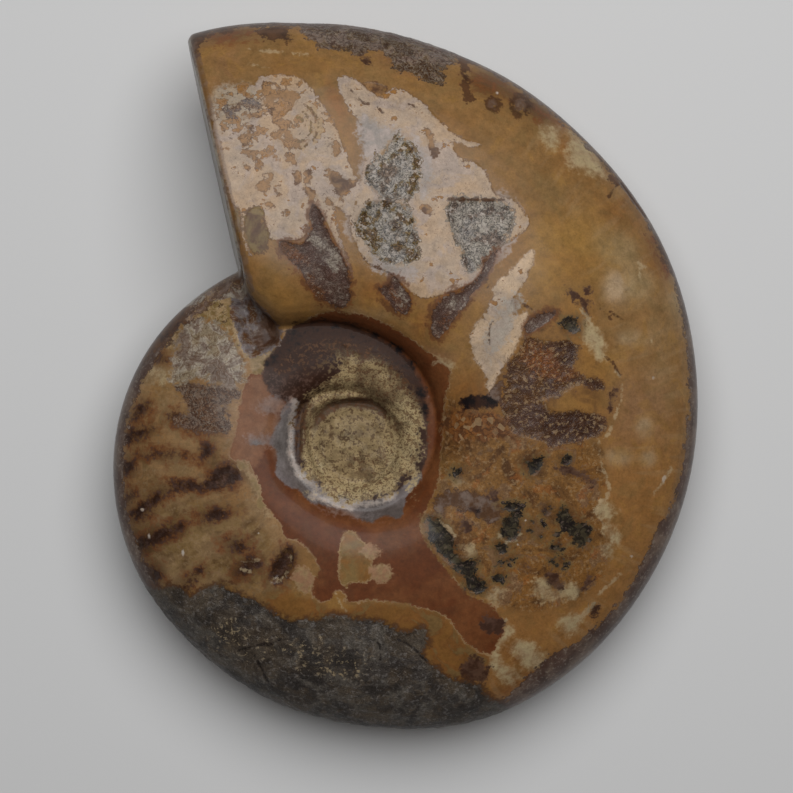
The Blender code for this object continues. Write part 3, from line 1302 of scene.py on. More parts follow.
UMBILICUS_WALL = (
    (258, 372), (292, 325), (302, 322), (340, 323), (360, 328), (400, 350), (413, 366), (426, 402),
    (428, 450), (424, 468), (416, 482), (390, 503), (370, 506), (350, 505), (335, 500), (310, 486),
    (291, 458), (287, 440), (287, 420), (291, 405), (272, 395),
)
# The slate fringe on the umbilicus's lower left wall: its own slate tone with a painted reflection in its
# blue-grey
FRINGE_AND_SHEEN = (
    (286, 403), (300, 398), (292, 465), (312, 482), (340, 499), (385, 502), (421, 470), (422, 480),
    (412, 488), (404, 501), (402, 518), (396, 520), (390, 516), (381, 516), (369, 525), (348, 511),
    (307, 502), (300, 489), (290, 488), (280, 480), (275, 472), (278, 455), (275, 447), (268, 443),
    (281, 420), (281, 411),
)
# Painted highlight along the lower edge of the fringe
FRINGE_GLEAM = (
    (308, 497), (314, 493), (319, 497), (328, 495), (341, 502), (359, 503), (356, 508), (349, 509),
)
UMBILICUS_GRIT = (
    (300, 405), (318, 388), (342, 372), (338, 360), (322, 343), (330, 339), (345, 341), (380, 353),
    (396, 365), (415, 396), (420, 435), (415, 466), (407, 479), (382, 499), (348, 501), (334, 496),
    (312, 480), (304, 470), (297, 440),
)
UMBILICUS_DISC = (
    (318, 412), (330, 404), (350, 402), (370, 404), (382, 412), (384, 425), (376, 465), (365, 475),
    (335, 478), (325, 470), (308, 440), (310, 425),
)
DISC_WEDGE = ((345, 455), (360, 452), (376, 456), (382, 464), (368, 474), (352, 476))

NOTCH = (
    (231, 282), (242, 277), (253, 301), (279, 324), (284, 336), (279, 345), (268, 354), (250, 358),
    (240, 349), (228, 299),
)
NOTCH_SILL = (3.5, ((227, 293), (240, 345), (246, 355)))
NOTCH_TONGUE = ((250, 358), (262, 352), (278, 346), (284, 352), (274, 362), (260, 374), (250, 372))

# The left flank, where dark ribs run up from the rim
GREY_SHELL = (
    (178, 330), (185, 322), (200, 318), (222, 325), (247, 362), (243, 368), (246, 378), (243, 385),
    (225, 385), (205, 380), (186, 380), (176, 384), (170, 378), (175, 368), (172, 360), (180, 342),
)
RIB_PATCH = (
    (170, 388), (178, 382), (190, 381), (243, 388), (242, 398), (228, 402), (224, 412), (232, 428),
    (225, 434), (185, 428), (170, 418), (195, 410),
)
RIBS = (
    ((142, 360), (150, 353), (158, 352), (170, 360), (160, 363), (148, 364), (140, 372)),
    ((128, 420), (133, 411), (140, 405), (147, 401), (150, 405), (144, 412), (136, 418)),
    ((166, 415), (178, 410), (186, 416), (194, 412), (201, 420), (222, 428), (218, 434), (190, 431),
     (170, 421)),
    ((119, 436), (134, 429), (158, 427), (142, 439), (120, 445)),
    ((116, 466), (126, 460), (135, 462), (134, 469), (126, 474), (117, 478)),
    ((119, 502), (126, 494), (134, 492), (136, 498), (128, 506), (120, 510)),
    ((128, 512), (168, 484), (182, 480), (204, 484), (218, 467), (230, 463), (240, 468), (242, 476),
     (234, 484), (222, 489), (170, 490), (162, 496), (148, 516), (138, 521), (130, 519)),
    ((126, 545), (170, 524), (186, 523), (182, 530), (156, 542), (138, 556), (130, 556)),
    ((134, 566), (142, 562), (150, 567), (162, 571), (160, 580), (154, 590), (144, 586)),
    ((176, 594), (182, 584), (190, 577), (200, 567), (204, 569), (198, 578), (188, 588)),
    ((234, 574), (240, 563), (248, 556), (258, 560), (262, 566), (252, 572), (242, 577)),
)
RIB_TIPS = ((206, 452, 5, 7, 0), (215, 515, 11, 6, -10), (236, 545, 9, 6, 20), (166, 455, 12, 2, 0))
LEAF_HOLLOW = ((268, 585), (271, 567), (280, 551), (290, 545), (296, 554), (294, 568), (284, 582))

STONE = (
    (136, 574), (146, 589), (161, 591), (176, 587), (185, 590), (186, 596), (193, 600), (204, 591),
    (221, 584), (241, 597), (262, 603), (265, 610), (288, 621), (304, 622), (342, 615), (348, 620),
    (384, 622), (397, 632), (407, 635), (421, 628), (425, 632), (427, 645), (421, 649), (422, 655),
    (434, 669), (449, 680), (480, 685), (483, 695), (491, 702), (506, 706), (512, 714), (500, 740),
    (400, 770), (250, 740), (150, 680), (100, 600), (118, 570),
)
STONE_CRACKS = (
    (1.2, ((238, 651), (262, 644), (270, 645), (280, 640))),
    (1.0, ((254, 655), (268, 682))),
    (1.6, ((375, 640), (382, 650), (380, 660))),
    (1.2, ((398, 640), (412, 646), (426, 662))),
)

# The rough right flank: grit, dark fingers and moss-dark chains
GRIT = (
    (560, 340), (577, 342), (578, 357), (570, 369), (575, 375), (602, 382), (606, 388), (601, 391),
    (578, 383), (564, 394), (546, 398), (542, 402), (555, 413), (575, 409), (596, 414), (602, 418),
    (605, 426), (602, 432), (586, 441), (560, 444), (550, 450), (544, 441), (516, 435), (508, 430),
    (499, 410), (508, 368), (512, 359), (519, 354), (525, 335), (548, 342),
)
GRIT_SHADE = (
    ((560, 341), (576, 343), (578, 356), (570, 366), (560, 364), (556, 352)),
    ((585, 380), (592, 379), (602, 384), (604, 389), (597, 389), (588, 386)),
    ((541, 412), (556, 415), (575, 410), (596, 415), (603, 425), (596, 434), (575, 442), (558, 443),
     (546, 436), (540, 424)),
)
RUSTY_GRIT = (
    (526, 342), (545, 344), (556, 352), (560, 366), (572, 368), (574, 376), (560, 384), (530, 372),
    (520, 358),
)
GRAINS = ((441, 409), (480, 412), (498, 411), (510, 432), (520, 437), (480, 441), (442, 440))
BLUE_FINGER = ((488, 397), (504, 374), (506, 382), (498, 402), (489, 402))
BLACK_FINGER = (
    (455, 407), (458, 401), (472, 393), (496, 401), (499, 407), (479, 410), (466, 409), (461, 405),
)
MOSS_MARKS = (
    ((423, 518), (436, 515), (451, 532), (460, 558), (466, 562), (481, 558), (472, 573), (486, 582),
     (488, 587), (482, 593), (466, 593), (465, 580), (460, 573), (434, 552)),
    ((505, 518), (510, 513), (519, 511), (522, 515), (519, 521), (522, 528), (516, 541), (507, 542),
     (502, 537), (499, 530)),
    ((496, 542), (503, 542), (506, 548), (505, 554), (499, 555), (495, 549)),
    ((553, 511), (568, 506), (575, 522), (582, 521), (588, 525), (592, 534), (591, 541), (584, 548),
     (577, 546), (555, 518)),
    ((521, 459), (532, 460), (541, 456), (546, 459), (536, 477), (529, 474)),
)
MOSS_BLOTS = (
    (566, 461, 5, 4, 0), (458, 473, 5, 4, 0), (557, 547, 5, 4, 0), (512, 507, 8, 4, 0), (547, 510, 5, 6, 0),
    (571, 326, 9, 8, 0), (561, 560, 2, 2, 0), (553, 561, 2, 2, 0), (565, 564, 2, 2, 0), (557, 565, 2, 2, 0),
    (510, 561, 3, 2, -30), (501, 563, 3, 2, -30), (500, 577, 5, 4, -10), (530, 531, 2, 2, 0),
    (544, 526, 2, 2, 0), (556, 534, 2, 2, 0), (541, 536, 2, 2, 0), (532, 523, 2, 2, 0),
    (509, 560, 4, 2, -30),
)
PLUM_MARKS = (
    ((551, 465), (579, 468), (595, 477), (598, 483), (595, 486), (572, 476), (558, 474)),
    ((618, 383), (620, 389), (612, 404), (611, 414), (606, 398)),
    ((487, 498), (487, 491), (492, 487), (498, 490), (499, 497), (494, 500)),
    ((544, 572), (552, 570), (560, 576), (566, 584), (562, 590), (554, 590), (548, 582)),
    ((522, 565), (528, 563), (532, 567), (528, 571), (522, 570)),
    ((588, 569), (594, 578), (592, 586), (585, 592), (578, 589), (582, 583), (586, 578)),
    ((480, 618), (488, 613), (498, 620), (507, 622), (500, 630), (493, 633), (483, 628)),
    ((540, 504), (548, 504), (552, 512), (548, 517), (543, 512)),
    ((462, 660), (474, 656), (486, 662), (490, 676), (482, 684), (466, 682), (460, 672)),
    ((529, 684), (536, 681), (543, 684), (540, 691), (532, 691)),
    ((457, 521), (466, 519), (472, 526), (468, 534), (460, 531)),
)
PLUM_BLOTS = (
    (585, 303, 5, 3, 20), (573, 293, 4, 2, 40), (588, 290, 4, 3, 0), (586, 311, 2, 4, 0),
    (648, 228, 3, 4, 0), (595, 609, 4, 5, 0), (366, 60, 5, 4, 20),
)
SLATE_PATCH = (
    (431, 503), (438, 491), (474, 491), (496, 501), (505, 511), (499, 521), (482, 521), (469, 511),
    (455, 507), (447, 506), (443, 513), (436, 513),
)
PALE_MARKS = (
    ((598, 506), (605, 505), (612, 508), (611, 517), (605, 520), (599, 515)),
    ((602, 524), (610, 524), (618, 536), (616, 541), (608, 540)),
    ((605, 542), (612, 543), (611, 555), (606, 552)),
    ((535, 588), (540, 580), (547, 581), (551, 588), (552, 597), (546, 600), (537, 595)),
    ((558, 587), (568, 583), (578, 588), (577, 596), (566, 597), (559, 593)),
    ((581, 320), (590, 323), (605, 342), (605, 355), (598, 359), (585, 335)),
    ((512, 640), (529, 643), (546, 660), (551, 666), (545, 674), (534, 671), (518, 657), (512, 649)),
    ((508, 623), (512, 635), (500, 646), (497, 654), (500, 662), (494, 657), (492, 649)),
    ((490, 661), (503, 665), (508, 671), (518, 672), (520, 677), (511, 678), (517, 685), (498, 674)),
    ((560, 621), (572, 616), (580, 620), (574, 632), (563, 634)),
    ((568, 127), (599, 154), (607, 173), (605, 179), (585, 168), (576, 169), (568, 165), (571, 140)),
    ((543, 128), (550, 127), (558, 131), (557, 141), (552, 146), (548, 141), (544, 135)),
    ((452, 470), (458, 478), (468, 482), (460, 484), (450, 480)),
    ((465, 548), (472, 546), (474, 556), (466, 557)),
)
PALE_BLOTS = (
    (158, 375, 8, 7, 0), (178, 375, 6, 6, 0), (130, 553, 4, 5, 30), (495, 595, 6, 6, 0),
    (434, 362, 8, 3, 15),
)
MOTTLED_TOP = (
    (256, 33), (268, 26), (298, 24), (310, 39), (331, 52), (343, 47), (361, 56), (368, 50), (378, 49),
    (384, 53), (393, 68), (400, 72), (410, 68), (437, 88), (446, 75), (440, 73), (450, 63), (464, 57),
    (440, 30), (350, 5), (296, 5), (262, 20),
)
DARK_BY_THE_RIM = (
    ((256, 33), (268, 26), (280, 24), (288, 30), (296, 41), (284, 42), (262, 38)),
    ((186, 38), (200, 24), (240, 24), (238, 29), (222, 33), (215, 30), (208, 34), (205, 43), (200, 46),
     (196, 60)),
    ((460, 58), (466, 62), (471, 80), (466, 92), (478, 99), (468, 100), (464, 96)),
    ((598, 158), (605, 158), (610, 166), (610, 172), (605, 172), (600, 165)),
    ((609, 175), (619, 179), (622, 183), (617, 185), (610, 180)),
    ((655, 241), (662, 242), (667, 255), (670, 264), (667, 266), (661, 258), (657, 248)),
    ((222, 278), (232, 281), (228, 292), (200, 308), (140, 366), (132, 362), (160, 322), (195, 292)),
)

DARK_STROKES = (
    (1.4, ((621, 183), (646, 218))), (1.2, ((617, 185), (609, 197))),
    (1.0, ((606, 357), (612, 361), (620, 376))), (1.0, ((600, 308), (611, 319))),
    (1.0, ((610, 312), (624, 320))), (0.9, ((362, 256), (372, 266), (393, 274))),
    (1.2, ((449, 199), (505, 200))), (1.0, ((484, 278), (490, 284), (487, 288))),
    (1.2, ((523, 305), (532, 309))), (0.9, ((502, 318), (492, 322), (488, 332), (490, 345))),
    (0.9, ((346, 86), (356, 95))), (0.9, ((358, 98), (364, 104), (370, 103))),
    (0.9, ((375, 103), (383, 113))), (0.9, ((407, 103), (417, 108))), (0.9, ((198, 576), (184, 588))),
    (1.1, ((440, 520), (456, 538))),
)
PALE_STROKES = (
    (1.3, ((598, 440), (598, 459), (612, 490), (600, 504))),
    (1.2, ((600, 504), (595, 510), (597, 518), (611, 533), (613, 540), (609, 548))),
    (1.3, ((581, 309), (592, 324))), (0.9, ((616, 372), (622, 382), (621, 396), (612, 428), (604, 440))),
    (1.4, ((598, 594), (620, 575))), (1.8, ((580, 620), (594, 603))), (0.8, ((250, 49), (308, 55))),
    (0.8, ((245, 63), (270, 68))), (0.9, ((241, 560), (249, 563), (259, 559))),
    (0.9, ((240, 569), (252, 572))), (1.0, ((271, 580), (281, 581), (290, 568))),
    (0.8, ((290, 553), (290, 562))), (1.2, ((440, 521), (456, 536))),
    (1.1, ((498, 533), (503, 541), (511, 543), (518, 539), (522, 531))),
    (1.3, ((334, 592), (341, 608), (346, 611))), (0.9, ((636, 257), (640, 266), (645, 267))),
    (0.9, ((640, 266), (640, 279))), (0.7, ((652, 494), (661, 486), (671, 468))),
    (0.9, ((649, 344), (652, 340))), (1.0, ((501, 610), (508, 622))),
    (1.0, ((432, 364), (440, 361), (450, 366))),
)
# Painted highlights: small white glints of light on the polish
GLINTS = (
    (653.3, 377.8, 1.6, 1.4, 0), (664, 479, 1.3, 3.0, 15), (631.5, 556.5, 1.5, 1.4, 0),
    (183, 552.5, 1.3, 2.8, 0), (142, 510, 1.6, 1.4, 0), (497, 93, 1.4, 1.2, 0), (149, 536, 1.2, 2.4, 0),
    (258, 533, 1.4, 1.2, 0), (518, 545, 1.3, 1.2, 0), (526, 520, 1.2, 1.2, 0),
)

LEFT_FLANK = (
    (150, 345), (175, 325), (205, 312), (232, 335), (245, 362), (238, 420), (226, 460), (250, 462),
    (268, 512), (300, 541), (292, 570), (290, 592), (262, 600), (226, 586), (150, 595), (125, 560),
    (105, 500), (105, 430), (125, 370),
)
BUSY_FLANK = (
    (441, 409), (455, 395), (500, 405), (520, 437), (560, 448), (600, 440), (606, 470), (600, 500),
    (612, 540), (605, 575), (585, 600), (555, 610), (510, 612), (490, 600), (462, 590), (437, 558),
    (424, 540), (420, 520), (430, 505), (440, 480),
)
BROWN_FLANK = (
    (470, 345), (490, 325), (520, 312), (560, 305), (590, 320), (606, 345), (608, 380), (600, 410),
    (606, 430), (590, 446), (545, 452), (500, 440), (455, 440), (441, 425), (445, 395), (465, 385),
    (485, 390), (490, 370),
)
CHIPPED = (
    (216, 92), (255, 78), (300, 76), (325, 108), (335, 138), (310, 152), (290, 158), (262, 152), (235, 152),
    (218, 125),
)
OUTER_FLANK = (
    (450, 50), (520, 80), (600, 150), (680, 260), (700, 400), (690, 500), (640, 600), (560, 690),
    (500, 720), (480, 680), (530, 650), (590, 600), (625, 520), (630, 440), (612, 350), (560, 200),
    (500, 120), (450, 90),
)
EVERYWHERE = ((-100, -100), (900, -100), (900, 900), (-100, 900))
DARK_ISLES = (
    ((222, 108), (240, 100), (262, 101), (262, 108), (250, 110), (246, 106), (233, 116), (226, 117)),
    ((448, 203), (460, 199), (474, 201), (470, 207), (458, 206), (454, 214), (455, 236), (450, 228)),
    ((505, 212), (511, 208), (513, 216), (508, 236), (504, 240), (502, 228)),
)

# The bluish bloom round the crystals, and the umbilicus in the flank's shade
HALO = (
    ((362, 112), (374, 118), (386, 130), (398, 128), (404, 134), (366, 166), (356, 132)),
    ((408, 136), (420, 140), (436, 176), (428, 192), (420, 200), (420, 176), (416, 158), (408, 146)),
    ((370, 248), (400, 266), (414, 264), (420, 272), (404, 280), (384, 274), (368, 262)),
    ((455, 212), (478, 204), (500, 206), (504, 222), (494, 240), (474, 246), (460, 236)),
)
GRITTY_SHADE = (
    (290, 352), (310, 340), (345, 334), (380, 342), (405, 362), (424, 400), (424, 450), (400, 492),
    (340, 503), (305, 480), (296, 440), (298, 404), (332, 374), (318, 366), (300, 366),
)
SHADED = (
    ((296, 404), (312, 398), (306, 414), (302, 458), (297, 464), (293, 440)),
    ((311, 430), (315, 416), (324, 405), (336, 399), (366, 397), (380, 402), (389, 412), (390, 422),
     (374, 410), (346, 407), (332, 411), (322, 420), (316, 432)),
)
INNER_FLOOR = (
    (302, 432), (307, 416), (316, 405), (330, 397), (368, 395), (382, 401), (391, 412), (396, 430),
    (396, 455), (388, 474), (372, 486), (345, 489), (322, 482), (308, 464),
)
# The umbilicus's wall under the mouth's whorl: dark mineral with painted shade, darkest where the overhang
# begins
DARK_SHADED_WALL = (
    (262, 366), (286, 332), (304, 320), (340, 321), (360, 326), (400, 348), (414, 365), (424, 386),
    (429, 412), (427, 424), (421, 398), (411, 380), (384, 352), (366, 343), (345, 338), (306, 340),
    (294, 346), (272, 368),
)
WALL_FOOT = (
    (270, 368), (284, 350), (300, 338), (325, 333), (350, 334), (376, 344), (398, 360), (412, 380),
    (422, 404), (415, 402), (404, 384), (390, 370), (372, 360), (350, 356), (328, 358), (290, 372),
)
PLUM_FLOOR = (
    (262, 378), (276, 366), (306, 352), (322, 350), (340, 356), (346, 366), (296, 404), (272, 394),
)
# Painted light: the khaki grit made paler at the bottom and left of the umbilicus, the side that faces the
# light
KHAKI_PAINTED_LIGHT = (
    (316, 445, 9, 26, 0), (322, 466, 12, 10, 40), (350, 490, 26, 8, 0), (384, 482, 14, 9, -40),
    (398, 458, 10, 16, 20), (411, 436, 7, 30, 0), (404, 410, 9, 12, 0), (345, 440, 10, 14, 0),
)
LOW_LEFT = (
    (150, 510), (180, 500), (215, 500), (240, 515), (262, 520), (276, 540), (262, 596), (226, 584),
    (186, 590), (160, 588), (140, 560), (130, 530),
)
SHOULDER = (
    (165, 345), (180, 322), (200, 300), (220, 284), (232, 283), (238, 322), (250, 366), (230, 332),
    (218, 322), (200, 318), (184, 326), (172, 350),
)
NOTCH_SHADE = (
    (256, 314), (264, 314), (281, 327), (282, 336), (274, 346), (262, 350), (254, 342), (258, 330),
)
FLAKE_GREY = ((500, 330, 12, 26, 25), (512, 305, 8, 10, 20))
CORNER = ((184, 320), (210, 286), (226, 275), (241, 270), (247, 284), (237, 285), (225, 293), (197, 318))
PINK_BLOBS = ((370, 553, 8, 6, 0), (381, 573, 10, 9, 0), (303, 580, 10, 14, -15))
GOLD_FLECKS = ((230, 635, 14, 12, 0), (297, 648, 16, 5, 0), (340, 665, 22, 10, 0), (262, 650, 14, 5, -10))
LAVENDER = ((273, 405, 14, 7, -8), (262, 440, 12, 5, 0), (350, 512, 20, 5, 10))
DROP_GREY = ((311, 230), (320, 226), (326, 232), (340, 258), (338, 270), (330, 268), (312, 246))
DROP_RUST = ((294, 255, 13, 7, 35), (316, 292, 5, 14, -25), (444, 322, 4, 9, 25), (396, 296, 5, 10, -30))
PALE_BORDER = (3.5, ((240, 464), (256, 482), (263, 507), (270, 515)))
RUSTY_RIM = (
    (484, 84, 18, 9, 25), (532, 108, 24, 6, 36), (508, 92, 14, 6, 30), (664, 250, 9, 22, -20),
    (225, 34, 26, 5, -4),
)

GREYED_CREAM = ((212, 92), (222, 84), (244, 84), (258, 90), (262, 104), (250, 120), (222, 128), (214, 114))


ARC_STEPS = 5


def arc(x: float, y: float, radius: float, start: float, end: float) -> Points:
    """Returns points along a part of a circle, from one direction to another in degrees."""
    turns = [radians(start + (end - start) * k / ARC_STEPS) for k in range(ARC_STEPS + 1)]
    return tuple((x + radius * cos(turn), y + radius * sin(turn)) for turn in turns)


# Marks that are one closed outline, and all the others
ONE_OUTLINE = {
    "everywhere": EVERYWHERE, "left_flank": LEFT_FLANK, "busy": BUSY_FLANK, "brown": BROWN_FLANK,
    "outer_flank": OUTER_FLANK, "chipped": CHIPPED, "pink": PINK_SHOULDER, "grey_shell": GREY_SHELL,
    "rib_patch": RIB_PATCH, "leaf_hollow": LEAF_HOLLOW, "greyed": GREYED_CREAM, "wall_foot": WALL_FOOT,
    "low_left": LOW_LEFT, "shoulder": SHOULDER, "pale_crystals": CRYSTALS_RIGHT, "dark_shaded_wall": DARK_SHADED_WALL,
    "plum_floor": PLUM_FLOOR, "grit": GRIT, "rusty_grit": RUSTY_GRIT, "grains": GRAINS,
    "mottled": MOTTLED_TOP, "stone": STONE, "wall": UMBILICUS_WALL, "gritty": GRITTY_SHADE,
    "khaki": UMBILICUS_GRIT, "inner_floor": INNER_FLOOR, "notch_shade": NOTCH_SHADE, "corner": CORNER,
    "flake_below": FLAKE_BELOW_IT, "island": ISLAND_ON_THE_BAND, "notch": NOTCH,
}
MARKINGS = {name: Marking((outline,)) for name, outline in ONE_OUTLINE.items()} | {
    "rust": Marking((RUST_BY_THE_CHAIN, RUST_ABOVE_THE_STONE)),
    "red_band": Marking((RED_BAND,), (LEAF_ON_THE_BAND, ISLAND_ON_THE_BAND, SLIP_ON_THE_BAND)),
    "ribs": Marking(RIBS + (LEAF_HOLLOW,), blots=RIB_TIPS),
    "flakes": Marking((FLAKE_BY_THE_MOUTH, FLAKE_IN_THE_MIDDLE, FLAKE_BELOW_IT)),
    "bare": Marking(GAPS_BY_THE_MOUTH + GAPS_IN_THE_MIDDLE),
    "olive_pocket": Marking(OLIVE_POCKET),
    "cracks": Marking(strokes=STONE_CRACKS),
    "crumbs": Marking(blots=CREAM_CRUMBS),
    "drop_grey": Marking((DROP_GREY,), blots=((452, 305, 8, 4, -40), (400, 292, 5, 8, -20))),
    "drop_rust": Marking(blots=DROP_RUST),
    "pale_border": Marking(strokes=(PALE_BORDER,)),
    "rusty_rim": Marking(blots=RUSTY_RIM),
    "rings": Marking(strokes=((2.4, arc(520, 106, 9, 0, 350)), (1.8, arc(493, 104, 6, 0, 350)))),
    "ring_middles": Marking(blots=((520, 106, 6, 6, 0), (493, 104, 3, 3, 0))),
    "khaki_painted_light": Marking(blots=KHAKI_PAINTED_LIGHT),
    "dark_arcs": Marking(strokes=tuple((0.9, arc(296, 126, reach, -75, 80)) for reach in (9, 16, 23))),
    "pale_arcs": Marking(strokes=tuple((1.2, arc(296, 126, reach, -70, 75)) for reach in (12.5, 19.5, 26))),
    "crystals": Marking((CRYSTALS_ABOVE, CRYSTALS_BELOW, CRYSTALS_RIGHT)),
    "halo": Marking(HALO),
    "isles": Marking(DARK_ISLES),
    "drops": Marking((DARK_DROP_LEFT, DARK_DROP_MIDDLE, DARK_DROP_RIGHT, DARK_DROP_FAR_RIGHT)),
    "grit_shade": Marking(GRIT_SHADE),
    "slate": Marking((SLATE_PATCH, BLUE_FINGER)),
    "moss": Marking(MOSS_MARKS, blots=MOSS_BLOTS),
    "plum": Marking(PLUM_MARKS, blots=PLUM_BLOTS),
    "pale": Marking(PALE_MARKS + (PALE_ON_THE_BAND,), blots=PALE_BLOTS),
    "dark_rim": Marking(DARK_BY_THE_RIM),
    "fringe_and_sheen": Marking((FRINGE_AND_SHEEN,), blots=((257, 443, 7, 3, 0),)),
    # Painted reflection on the wall left of the disc
    "grey_sheen": Marking(blots=((284, 440, 11, 34, 0), (300, 476, 20, 8, 42))),
    # Painted highlights on the glossy wall
    "gleam": Marking((FRINGE_GLEAM,), blots=((307, 479, 14, 4, 42),), strokes=(
        (2.2, ((296, 403), (292, 420), (290, 440), (291, 458), (298, 470))),
        (1.8, ((338, 500), (350, 502), (365, 504), (381, 502), (393, 495))),
    )),
    "disc": Marking((UMBILICUS_DISC,), (DISC_WEDGE,)),
    "flake_grey": Marking(blots=FLAKE_GREY),
    "pink_blobs": Marking(blots=PINK_BLOBS),
    "gold": Marking(blots=GOLD_FLECKS),
    "lavender": Marking(blots=LAVENDER),
    "shaded": Marking(SHADED),
    "sill": Marking((NOTCH_TONGUE,), strokes=(NOTCH_SILL,)),
    "black": Marking((BLACK_FINGER,), blots=((475, 511, 5, 3, 40),)),
    "dark_lines": Marking(strokes=DARK_STROKES),
    "pale_lines": Marking(strokes=PALE_STROKES),
    # Painted highlights
    "glints": Marking(blots=GLINTS),
}

RELIEFS = (
    Relief("crystals", sink=0.4 * MM, edge=6.0, lump=0.12 * MM, lump_size=0.7 * MM, crystals=True),
    Relief("drops", sink=0.1 * MM, lump=0.06 * MM),
    Relief("grit", sink=0.12 * MM, lump=0.1 * MM, lump_size=0.8 * MM, crystals=True),
    Relief("notch", sink=1.3 * MM, edge=12.0, lump=0.4 * MM, lump_size=2.4 * MM),
    Relief("inner_floor", edge=7.0, levelled=0.8),
    Relief("khaki", edge=4.0, lump=0.16 * MM, lump_size=1.3 * MM),
    Relief("moss", sink=0.1 * MM, edge=4.0, lump=0.06 * MM, lump_size=0.9 * MM),
    Relief("mottled", lump=0.1 * MM, lump_size=1.2 * MM),
    Relief("ribs", sink=0.08 * MM, edge=6.0, lump=0.05 * MM, lump_size=1.2 * MM),
    Relief("leaf_hollow", sink=0.7 * MM, lump=0.06 * MM, lump_size=0.8 * MM),
    Relief("stone", sink=0.05 * MM, lump=0.1 * MM, lump_size=1.3 * MM),
    Relief("shaded", sink=0.35 * MM),
    Relief("dark_lines", sink=0.12 * MM, edge=1.4),
    Relief("cracks", sink=0.2 * MM, edge=1.4),
)


def coats(marking: str, *own: tuple, **shared: float) -> tuple[Layer, ...]:
    """Lays several coats over one mark.

    Args:
        marking: The mark that they cover.
        own: What each coat has of its own, in the order of a layer's fields from its tone on.
        shared: What all of them have.

    Returns:
        Their layers, the lowest first.
    """
    return tuple(Layer(marking, *values, **shared) for values in own)


